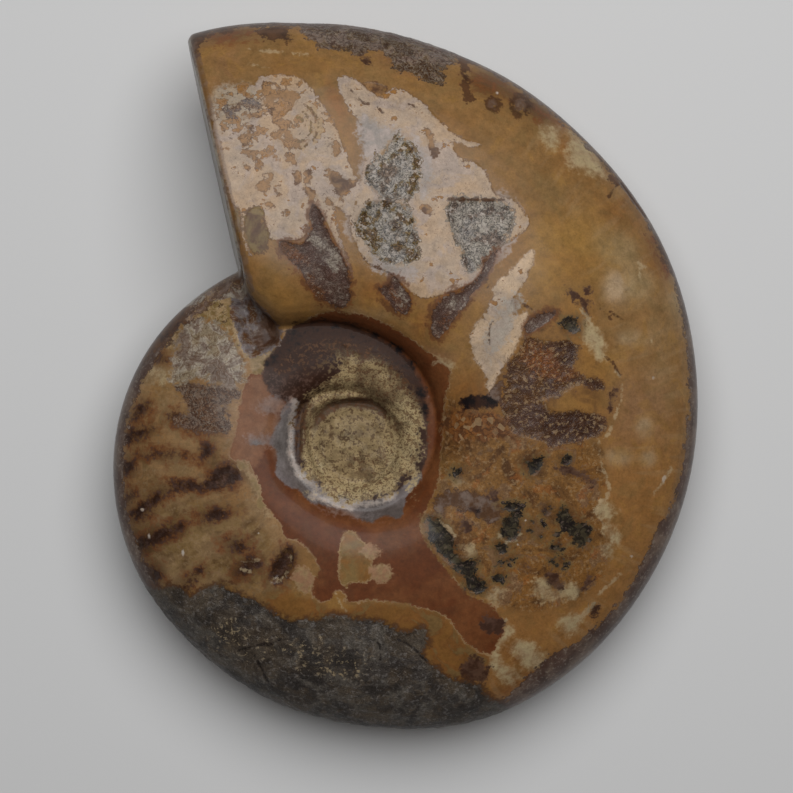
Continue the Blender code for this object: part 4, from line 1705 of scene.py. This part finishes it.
LAYERS = (
    # The honey shell itself
    *coats("everywhere",
           (Tone.OLIVE, None, PATCHY, 0.56, 0.1, 0.35),
           (Tone.DEEP_HONEY, None, CLOUDY, 0.52, 0.1, 0.4),
           (Tone.AMBER, None, PATCHY, 0.42, -0.08, 0.35),
           (Tone.UMBER, None, SPECKLED, 0.66, 0.05, 0.3),
           wander=3),
    Layer("outer_flank", Tone.PALE_TAN, None, STREAKED, 0.6, 0.08, 0.25, soft=16, wander=3),
    Layer("rusty_rim", Tone.UMBER, Tone.BRICK, cover=0.7, soft=12, wander=12, grow=2),
    # The left flank's ribs
    Layer("left_flank", Tone.TAN, Tone.OLIVE, PATCHY, 0.56, 0.1, 0.6, soft=14, wander=10),
    Layer("low_left", Tone.OLIVE, Tone.PALE_TAN, MOTTLED, 0.54, 0.1, 0.6, soft=20, wander=14),
    Layer("low_left", Tone.UMBER, None, PATCHY, 0.5, 0.05, 0.5, soft=16, wander=14),
    *coats("left_flank",
           (Tone.UMBER, None, PATCHY, 0.57, 0.06, 0.35),
           (Tone.UMBER, None, STREAKED, 0.56, 0.1, 0.3),
           soft=14, wander=6),
    *coats("left_flank",
           (Tone.UMBER, None, MOTTLED, 0.57, 0.04, 0.35),
           (Tone.DARK_UMBER, None, SPECKLED, 0.58, 0.05, 0.4),
           soft=10, wander=3),
    Layer("left_flank", Tone.PALE_TAN, None, CLOUDY, cover=0.35, soft=14, wander=10),
    Layer("left_flank", Tone.PALE_TAN, None, SPECKLED, 0.58, 0.05, 0.4, soft=10, wander=3),
    Layer("ribs", Tone.UMBER, Tone.BRICK, cover=0.65, soft=12, wander=12, grow=6),
    Layer("ribs", Tone.DARK_UMBER, Tone.PLUM, SPECKLED, 0.54, 0.1, 0.85, soft=7, wander=12, relief=0.03),
    Layer("ribs", Tone.BLACK, None, MOTTLED, 0.5, 0.06, 0.55, soft=6, grow=-2),
    Layer("rib_patch", Tone.DUSK, Tone.UMBER, MOTTLED, 0.47, 0.1, 0.85, soft=5, wander=10),
    *coats("rib_patch",
           (Tone.DARK_UMBER, None, CURLED, 0.76, 0.12, 0.75),
           (Tone.ASH, None, FILIGREE, 0.9, 0.06, 0.35),
           soft=5),
    Layer("pale_border", Tone.PALE_TAN, Tone.OLIVE, cover=0.8, soft=4),
    # The rough right flank
    Layer("brown", Tone.OCHRE, Tone.UMBER, PATCHY, 0.57, 0.1, 0.55, soft=16, wander=14),
    Layer("busy", Tone.OCHRE, Tone.DEEP_HONEY, CLOUDY, cover=0.6, soft=14, wander=14),
    *coats("busy",
           (Tone.UMBER, None, PATCHY, 0.53, 0.03, 0.4),
           (Tone.DARK_UMBER, None, PATCHY, 0.6, 0.03, 0.5),
           soft=12),
    *coats("busy",
           (Tone.DUSK, None, PATCHY, 0.43, -0.03, 0.4),
           (Tone.RUST, None, MOTTLED, 0.6, 0.03, 0.5),
           (Tone.DARK_UMBER, None, FILIGREE, 0.84, 0.1, 0.35),
           (Tone.PALE_TAN, None, SPECKLED, 0.6, 0.06, 0.4),
           soft=10),
    Layer("rust", Tone.DEEP_HONEY, Tone.BRICK, PATCHY, 0.54, 0.1, 0.8, soft=9, wander=10),
    Layer("rust", Tone.OLIVE, None, PATCHY, 0.56, 0.04, 0.7, soft=9),
    Layer("pale", Tone.BONE, Tone.GREENISH_BONE, cover=0.75, soft=14),
    # The red band
    Layer("red_band", Tone.BRICK, Tone.DEEP_BRICK, CLOUDY, soft=2.4, wander=5,
          edge=Tone.PALE_TAN, roughness=0.5, step=-0.02),
    Layer("red_band", Tone.UMBER, None, PATCHY, 0.58, 0.06, 0.25, soft=6, wander=3),
    Layer("pink", Tone.BLUSH, Tone.BRICK, CLOUDY, cover=0.6, soft=6, wander=3, roughness=0.5),
    Layer("island", Tone.DEEP_HONEY, Tone.OLIVE, PATCHY, 0.48, 0.1, 0.8, soft=3, wander=5,
          edge=Tone.PALE_TAN),
    Layer("pink_blobs", Tone.PALE_TAN, Tone.BLUSH, MOTTLED, 0.54, 0.1, 0.8, soft=4, wander=6),
    # The grey patch and the mottled rim
    Layer("shoulder", Tone.OLIVE, Tone.PALE_TAN, PATCHY, 0.48, 0.04, soft=7, wander=12),
    *coats("shoulder",
           (Tone.DARK_UMBER, None, MOTTLED, 0.55, 0.03, 0.75),
           (Tone.BONE, None, CURLED, 0.9, 0.06, 0.6),
           soft=6, wander=10),
    *coats("grey_shell",
           (Tone.ASH, Tone.DUSK, PATCHY, 0.52, 0.04, 0.85),
           (Tone.OLIVE, None, PATCHY, 0.44, -0.04, 0.5),
           soft=8, wander=12),
    Layer("grey_shell", Tone.UMBER, None, CURLED, 0.86, 0.1, 0.6, soft=6, wander=10, relief=-0.04),
    Layer("grey_shell", Tone.DARK_UMBER, None, FILIGREE, 0.88, 0.08, 0.35, soft=6, wander=10),
    Layer("mottled", Tone.DUSK, Tone.OLIVE, PATCHY, soft=5, wander=10, edge=Tone.DARK_UMBER),
    Layer("mottled", Tone.DARK_UMBER, None, PATCHY, 0.5, 0.05, 0.8, soft=5, wander=10),
    Layer("mottled", Tone.DARK_UMBER, None, CURLED, 0.78, 0.12, 0.7, soft=4, wander=10, relief=-0.05),
    Layer("mottled", Tone.ASH, None, FILIGREE, 0.88, 0.08, 0.35, soft=4, wander=10),
    # The pale flakes, chipped where the honey shell shows
    Layer("crystals", Tone.BLUE_GREY, Tone.LILAC_CREAM, CLOUDY, cover=0.5, soft=8, wander=10, grow=9),
    Layer("flakes", Tone.CREAM, Tone.WARM_CREAM, CLOUDY, 0.5, 0.14, wander=5, edge=Tone.UMBER,
          roughness=0.34, step=0.03),
    Layer("flakes", Tone.LILAC_CREAM, None, PATCHY, 0.54, 0.06, 0.6, wander=5),
    Layer("flake_below", Tone.PEACH, None, CLOUDY, 0.45, 0.1, 0.75, soft=6, wander=5),
    Layer("flake_grey", Tone.BLUE_GREY, Tone.ASH, cover=0.6, soft=8, wander=12),
    Layer("greyed", Tone.ASH, Tone.PALE_TAN, PATCHY, cover=0.7, soft=12, wander=10),
    Layer("bare", Tone.TAN, Tone.UMBER, PATCHY, 0.56, 0.06, wander=6, edge=Tone.UMBER, step=-0.03),
    Layer("olive_pocket", Tone.UMBER, Tone.OLIVE, PATCHY, 0.46, soft=2.5, wander=6, edge=Tone.UMBER),
    Layer("crumbs", Tone.CREAM, Tone.WARM_CREAM, soft=2, wander=6, edge=Tone.UMBER),
    *coats("chipped",
           (Tone.DARK_UMBER, None, MOTTLED, 0.535, 0.012, 0.75),
           (Tone.TAN, None, MOTTLED, 0.555, 0.012),
           soft=9, wander=14),
    *coats("flakes",
           (Tone.UMBER, None, MOTTLED, 0.635, 0.012, 0.7),
           (Tone.OCHRE, None, MOTTLED, 0.655, 0.012),
           (Tone.UMBER, None, CURLED, 0.97, 0.02, 0.5),
           wander=5),
    Layer("dark_arcs", Tone.UMBER, Tone.OLIVE, cover=0.85, soft=1.4, wander=3),
    Layer("pale_arcs", Tone.CREAM, Tone.PALE_TAN, cover=0.9, soft=1.4, wander=3),
    Layer("halo", Tone.BLUE_GREY, Tone.LILAC_CREAM, cover=0.75, soft=9, wander=12),
    Layer("isles", Tone.UMBER, Tone.SLATE, soft=2, edge=Tone.DARK_UMBER),
    Layer("isles", Tone.WARM_CREAM, None, FILIGREE, 0.9, 0.06, 0.6, soft=2),
    # Hollows lined with crystals, and the open dark mineral
    Layer("crystals", Tone.ASH, Tone.OLIVE, MOTTLED, 0.5, 0.03, wander=10, grow=1,
          edge=Tone.DARK_UMBER, roughness=0.42),
    Layer("pale_crystals", Tone.ASH, Tone.BLUE_GREY, cover=0.6, soft=6, wander=10),
    *coats("crystals",
           (Tone.BLUE_GREY, None, PATCHY, 0.55, 0.03, 0.6),
           (Tone.UMBER, None, MOTTLED, 0.57, 0.03, 0.6),
           (Tone.FROST, None, MOTTLED, 0.44, -0.03, 0.45),
           (Tone.UMBER, None, SPECKLED, 0.57, 0.04, 0.45)),
    Layer("crystals", Tone.BLACK, None, FILIGREE, 0.8, 0.14, 0.75, relief=-0.06),
    Layer("crystals", Tone.FROST, None, SPECKLED, 0.6, 0.05, 0.5, relief=0.03),
    Layer("drops", Tone.BRICK, Tone.UMBER, cover=0.75, soft=5, wander=9, grow=4),
    Layer("drops", Tone.PLUM, Tone.DUSK, PATCHY, 0.56, soft=3, wander=5, edge=Tone.DARK_UMBER,
          roughness=0.4),
    Layer("drop_rust", Tone.BRICK, Tone.UMBER, cover=0.8, soft=6, wander=10),
    Layer("drop_grey", Tone.DUSK, Tone.ASH, cover=0.6, soft=6),
    Layer("drops", Tone.DARK_UMBER, None, FILIGREE, 0.76, 0.14, 0.65, wander=5, relief=-0.05),
    Layer("drops", Tone.ASH, None, SPECKLED, 0.62, 0.05, 0.3, wander=5, relief=0.02),
    # Grit, fingers and moss-dark chains on the right flank
    Layer("grit", Tone.UMBER, Tone.PLUM, PATCHY, cover=0.9, soft=6, wander=10),
    Layer("rusty_grit", Tone.RUST, Tone.UMBER, MOTTLED, 0.52, 0.1, 0.75, soft=9, wander=12),
    Layer("grit", Tone.DARK_UMBER, None, FILIGREE, 0.76, 0.14, 0.6, relief=-0.05),
    Layer("grit_shade", Tone.DARK_UMBER, Tone.UMBER, MOTTLED, 0.6, 0.1, 0.8, soft=6, grow=1),
    Layer("grit", Tone.PALE_TAN, None, SPECKLED, 0.58, 0.05, 0.45, relief=0.04),
    *coats("grains",
           (Tone.RUST, Tone.UMBER, MOTTLED, 0.5, 0.1, 0.6),
           (Tone.DARK_UMBER, None, CURLED, 0.7, 0.12, 0.6),
           (Tone.PALE_TAN, None, GRAINY, 0.82, 0.05, 0.6),
           soft=9, wander=12),
    Layer("slate", Tone.UMBER, Tone.DUSK, soft=4, edge=Tone.DARK_UMBER),
    Layer("moss", Tone.UMBER, Tone.OLIVE, cover=0.6, soft=6, wander=10, grow=4),
    Layer("moss", Tone.MOSS, Tone.BLACK_MOSS, soft=3, wander=9, step=-0.03),
    *coats("moss",
           (Tone.BLACK, None, CURLED, 0.7, 0.12, 0.7),
           (Tone.DUSK, None, SPECKLED, 0.62, 0.04, 0.4)),
    Layer("plum", Tone.PLUM, Tone.DARK_UMBER, cover=0.85, soft=5, wander=9),
    Layer("rings", Tone.DARK_UMBER, Tone.UMBER, cover=0.8, soft=5, wander=9, grow=2),
    Layer("ring_middles", Tone.DUSK, Tone.UMBER, SPECKLED, cover=0.7, soft=4, wander=6),
    # The rim
    Layer("rim", Tone.DUSK, Tone.PLUM, PATCHY, cover=0.9, soft=3, edge=Tone.DARK_UMBER),
    *coats("rim",
           (Tone.DARK_UMBER, None, CLOUDY, 0.52, 0.08, 0.6),
           (Tone.ASH, None, SPECKLED, 0.6, 0.05, 0.25),
           soft=4, wander=6),
    Layer("dark_rim", Tone.DARK_UMBER, Tone.UMBER, cover=0.9, soft=4, wander=9),
    # The bare stone
    Layer("stone", Tone.DARK_UMBER, Tone.UMBER, cover=0.8, soft=8, grow=4),
    Layer("stone", Tone.MATRIX, Tone.PALE_MATRIX, PATCHY, 0.54, 0.06, soft=5, wander=6, roughness=0.5),
    *coats("stone",
           (Tone.BROWN_MATRIX, None, CLOUDY, 0.53, 0.05, 0.6),
           (Tone.BROWN_MATRIX, None, MOTTLED, 0.56, 0.05, 0.6),
           (Tone.BLACK_MOSS, None, PATCHY, 0.44, -0.05, 0.45),
           wander=4),
    Layer("stone", Tone.BLACK, None, FILIGREE, 0.8, 0.14, 0.4, wander=4, relief=-0.05),
    Layer("stone", Tone.BLUE_GREY, None, SPECKLED, 0.6, 0.04, 0.25, wander=4, relief=0.03),
    Layer("gold", Tone.KHAKI, None, SPECKLED, 0.6, 0.05, 0.5, soft=12, wander=16),
    Layer("cracks", Tone.BLACK, None, SPECKLED, 0.3, 0.1, 0.8, wander=3),
    # The umbilicus, with painted shade under its overhang and painted light and reflections on its lower
    # left
    Layer("sill", Tone.PALE_TAN, Tone.OLIVE, soft=4, wander=6),
    Layer("wall", Tone.DARK_UMBER, Tone.PLUM, MOTTLED, 0.56, soft=3, wander=3, roughness=0.5),
    Layer("plum_floor", Tone.DARK_UMBER, Tone.PLUM, SPECKLED, 0.56, 0.1, 0.85, soft=8),
    # Slate tone with painted reflection on the sloping wall
    Layer("fringe_and_sheen", Tone.SLATE, Tone.HEATHER, CLOUDY, soft=3, wander=3, roughness=0.35),
    # Painted reflection: a blue-grey sheen on the wall left of the disc
    Layer("grey_sheen", Tone.BLUE_GREY, None, CLOUDY, 0.3, 0.1, 0.5, soft=14, wander=3, grow=-3),
    Layer("lavender", Tone.HEATHER, Tone.BLUSH, CLOUDY, cover=0.6, soft=8),
    # Painted highlight in frost and lilac cream on the glossy wall
    Layer("gleam", Tone.FROST, Tone.LILAC_CREAM, SPECKLED, 0.46, 0.1, 0.85, soft=7, wander=4),
    Layer("gritty", Tone.DARK_KHAKI, None, SPECKLED, 0.53, 0.04, 0.8, soft=10, wander=16, roughness=0.8),
    Layer("khaki", Tone.KHAKI, Tone.DARK_KHAKI, PATCHY, 0.54, soft=7, wander=16, roughness=0.8),
    # Painted light on the grit's lit side
    Layer("khaki_painted_light", Tone.PALE_KHAKI, Tone.KHAKI, cover=0.8, soft=12, wander=12),
    Layer("khaki", Tone.UMBER, None, SPECKLED, 0.55, 0.05, 0.7, soft=5, wander=10, relief=-0.08),
    Layer("khaki", Tone.DARK_UMBER, None, FINE, 0.57, 0.05, 0.6, soft=5, wander=10),
    Layer("disc", Tone.DARK_KHAKI, Tone.KHAKI, MOTTLED, 0.46, 0.1, 0.45, soft=8, wander=3),
    Layer("disc", Tone.DARK_UMBER, None, SPECKLED, 0.57, 0.05, 0.6, soft=4, wander=3),
    Layer("shaded", Tone.DARK_UMBER, Tone.UMBER, SPECKLED, 0.56, 0.1, 0.85, soft=6, wander=6),
    Layer("wall_foot", Tone.DARK_UMBER, Tone.UMBER, SPECKLED, 0.56, 0.06, 0.95, soft=16,
          wander=12, roughness=0.8),
    # Dark mineral and painted shade on the wall under the overhang
    Layer("dark_shaded_wall", Tone.DARK_UMBER, Tone.BLACK, MOTTLED, 0.58, soft=7, wander=6, roughness=0.8),
    Layer("notch", Tone.HEATHER, Tone.UMBER, MOTTLED, 0.52, wander=6, roughness=0.4),
    Layer("notch", Tone.ASH, None, CURLED, 0.9, 0.08, 0.35, wander=6),
    Layer("notch", Tone.DARK_UMBER, None, PATCHY, 0.54, 0.05, 0.6, wander=3),
    Layer("notch_shade", Tone.UMBER, Tone.DARK_UMBER, MOTTLED, 0.52, 0.1, 0.8, soft=6, wander=6),
    Layer("black", Tone.DARK_UMBER, Tone.BLACK, MOTTLED, 0.54, soft=5, wander=6),
    # Lines, and glints that are painted highlights
    Layer("dark_lines", Tone.DARK_UMBER, Tone.UMBER, cover=0.8, wander=2.4),
    Layer("pale_lines", Tone.BONE, None, MOTTLED, 0.47, 0.06, 0.6, soft=2.4, wander=4),
    # Painted highlights in frost and cream
    Layer("glints", Tone.FROST, Tone.CREAM, cover=0.9, soft=1.4, wander=0.6),
    Layer("mouth_face", Tone.ASH, Tone.DUSK, soft=1.5, wander=0.5),
    Layer("lip", Tone.UMBER, Tone.DUSK, cover=0.4, soft=2, wander=2),
    Layer("corner", Tone.UMBER, Tone.DUSK, soft=4, edge=Tone.DARK_UMBER),
    Layer("corner", Tone.PALE_TAN, None, CURLED, 0.9, 0.08, 0.6, soft=4),
)

# Undertones of the honey shell: the tone, x, y, half length, half width, turn in degrees and cover
CLOUDS = tuple(Cloud(*row) for row in (
    (Tone.WARM_HONEY, 620, 540, 70, 110, 20, 0.9), (Tone.WARM_HONEY, 520, 640, 90, 60, 0, 0.9),
    (Tone.WARM_HONEY, 640, 470, 45, 40, 0, 0.6), (Tone.PALE_TAN, 650, 330, 36, 90, 0, 0.35),
    (Tone.AMBER, 565, 255, 50, 45, 0, 0.8), (Tone.AMBER, 590, 365, 18, 30, 0, 0.6),
    (Tone.OCHRE, 465, 270, 60, 40, -50, 0.7), (Tone.BLUSH, 640, 410, 35, 40, 0, 0.5),
    (Tone.RUST, 625, 215, 25, 20, 40, 0.35), (Tone.RUST, 655, 262, 14, 22, -20, 0.35),
    (Tone.GREENISH_BONE, 620, 250, 28, 20, 30, 0.4), (Tone.GREENISH_BONE, 633, 285, 24, 14, 0, 0.5),
    (Tone.BONE, 680, 290, 14, 40, -10, 0.55), (Tone.OLIVE, 545, 190, 22, 22, 0, 0.4),
    (Tone.RUST, 565, 145, 6, 20, 0, 0.4), (Tone.UMBER, 535, 108, 22, 6, 35, 0.5),
    (Tone.UMBER, 494, 84, 12, 12, 0, 0.5), (Tone.OLIVE, 254, 228, 12, 22, 0, 0.6),
    (Tone.TAN, 190, 480, 90, 110, 0, 0.85), (Tone.OLIVE, 165, 455, 14, 7, 0, 0.6),
    (Tone.OLIVE, 240, 462, 14, 8, 0, 0.6), (Tone.OLIVE, 190, 510, 40, 14, -10, 0.4),
    (Tone.OCHRE, 250, 500, 20, 26, 0, 0.5), (Tone.AMBER, 160, 385, 16, 16, 0, 0.6),
    (Tone.AMBER, 195, 590, 12, 8, 0, 0.4), (Tone.PALE_TAN, 172, 568, 12, 12, 0, 0.5),
    (Tone.OCHRE, 480, 480, 60, 40, 0, 0.6), (Tone.PLUM, 470, 450, 20, 12, 0, 0.4),
    (Tone.PLUM, 527, 450, 8, 8, 0, 0.5), (Tone.RUST, 470, 395, 28, 20, 0, 0.6),
    (Tone.AMBER, 575, 402, 30, 9, 0, 0.7), (Tone.RUST, 465, 515, 10, 8, 0, 0.7),
    (Tone.DEEP_HONEY, 540, 540, 60, 40, 0, 0.7), (Tone.RUST, 520, 690, 40, 20, -15, 0.6),
    (Tone.BLUSH, 585, 512, 12, 14, 0, 0.5), (Tone.BRICK, 515, 655, 14, 8, 40, 0.5),
    (Tone.BLUSH, 438, 357, 20, 10, 20, 0.6), (Tone.OLIVE, 575, 290, 18, 10, 0, 0.4),
    (Tone.BLUSH, 225, 70, 14, 40, 10, 0.3), (Tone.RUST, 335, 100, 8, 26, -25, 0.5),
    (Tone.OLIVE, 312, 80, 14, 22, -30, 0.4), (Tone.PALE_TAN, 362, 314, 26, 7, 5, 0.6),
    (Tone.RUST, 345, 322, 20, 6, 0, 0.5), (Tone.RUST, 372, 290, 12, 10, 0, 0.4),
    (Tone.AMBER, 285, 300, 24, 14, 20, 0.5), (Tone.OLIVE, 275, 270, 14, 18, 0, 0.5),
    (Tone.AMBER, 318, 322, 20, 6, 0, 0.5), (Tone.RUST, 420, 325, 10, 14, 0, 0.4),
    (Tone.BLUSH, 400, 60, 30, 14, 20, 0.4), (Tone.PEACH, 615, 287, 12, 15, 0, 0.8),
    (Tone.BONE, 632, 338, 16, 9, 0, 0.6), (Tone.BONE, 645, 428, 9, 12, 0, 0.6),
    (Tone.BONE, 618, 457, 16, 9, 0, 0.55), (Tone.BONE, 648, 458, 9, 9, 0, 0.55),
))


@dataclass(frozen=True)
class Studio:
    """The plain pale floor, the soft light and the camera."""

    photo: PhotoFrame = field(default_factory=PhotoFrame)
    floor_colour: tuple[float, float, float] = (0.62, 0.62, 0.62)
    floor_roughness: float = 0.9
    floor_half_size: float = 3.0
    sky: tuple[float, float, float] = (0.06, 0.06, 0.06)
    window_place: tuple[float, float, float] = (0.03, 0.15, 0.42)
    window_size: float = 0.42
    window_power: float = 2.0  # in watts
    sensor: float = 36.0  # in mm

    def floor(self) -> None:
        """Lays the floor."""
        bpy.ops.object.select_all(action="DESELECT")
        bpy.ops.mesh.primitive_plane_add(size=2 * self.floor_half_size)
        floor = bpy.context.object
        floor.name = "floor"
        graph = Graph("floor_paper")
        inputs = {"Base Color": (*self.floor_colour, 1.0), "Roughness": self.floor_roughness}
        shader = graph.node("ShaderNodeBsdfPrincipled", {}, inputs)
        graph.tree.links.new(shader.value, graph.output.inputs["Surface"])
        floor.data.materials.append(graph.material)

    def light(self) -> None:
        """Sets the even light of the room and one large soft window."""
        world = bpy.data.worlds.new("room")
        bpy.context.scene.world = world
        world.use_nodes = True
        world.node_tree.nodes["Background"].inputs["Color"].default_value = (*self.sky, 1.0)
        place = Vector(self.window_place)
        bpy.ops.object.light_add(type="AREA", location=place)
        window = bpy.context.object
        window.name = "window"
        window.data.shape = "DISK"
        window.data.size = self.window_size
        window.data.energy = self.window_power
        window.rotation_euler = (self.photo.centre() - place).to_track_quat("-Z", "Y").to_euler()

    def camera(self) -> None:
        """Sets the camera straight above, with the photograph's frame."""
        width = self.photo.side * self.photo.metres_per_pixel
        bpy.ops.object.camera_add(location=self.photo.centre() + Vector((0.0, 0.0, self.photo.distance)))
        camera = bpy.context.object
        camera.name = "camera"
        camera.rotation_euler = (0.0, 0.0, 0.0)
        camera.data.sensor_width = self.sensor
        camera.data.lens = self.sensor * self.photo.distance / width
        bpy.context.scene.camera = camera
        bpy.context.scene.view_settings.view_transform = "Standard"


def main() -> None:
    """Builds the shell and the studio, hangs the shell on the root body and hides the part that it takes the
    place of.
    """
    maker = Shell()
    shell = maker.build()
    maker.dress(shell)
    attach(shell, "root")
    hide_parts("ammonite")
    log.info("%s: %d triangles", shell.name, len(shell.data.polygons))
    studio = Studio()
    studio.floor()
    studio.light()
    studio.camera()
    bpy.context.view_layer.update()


if __name__ == "__main__":
    logging.basicConfig(level=logging.INFO)
    main()
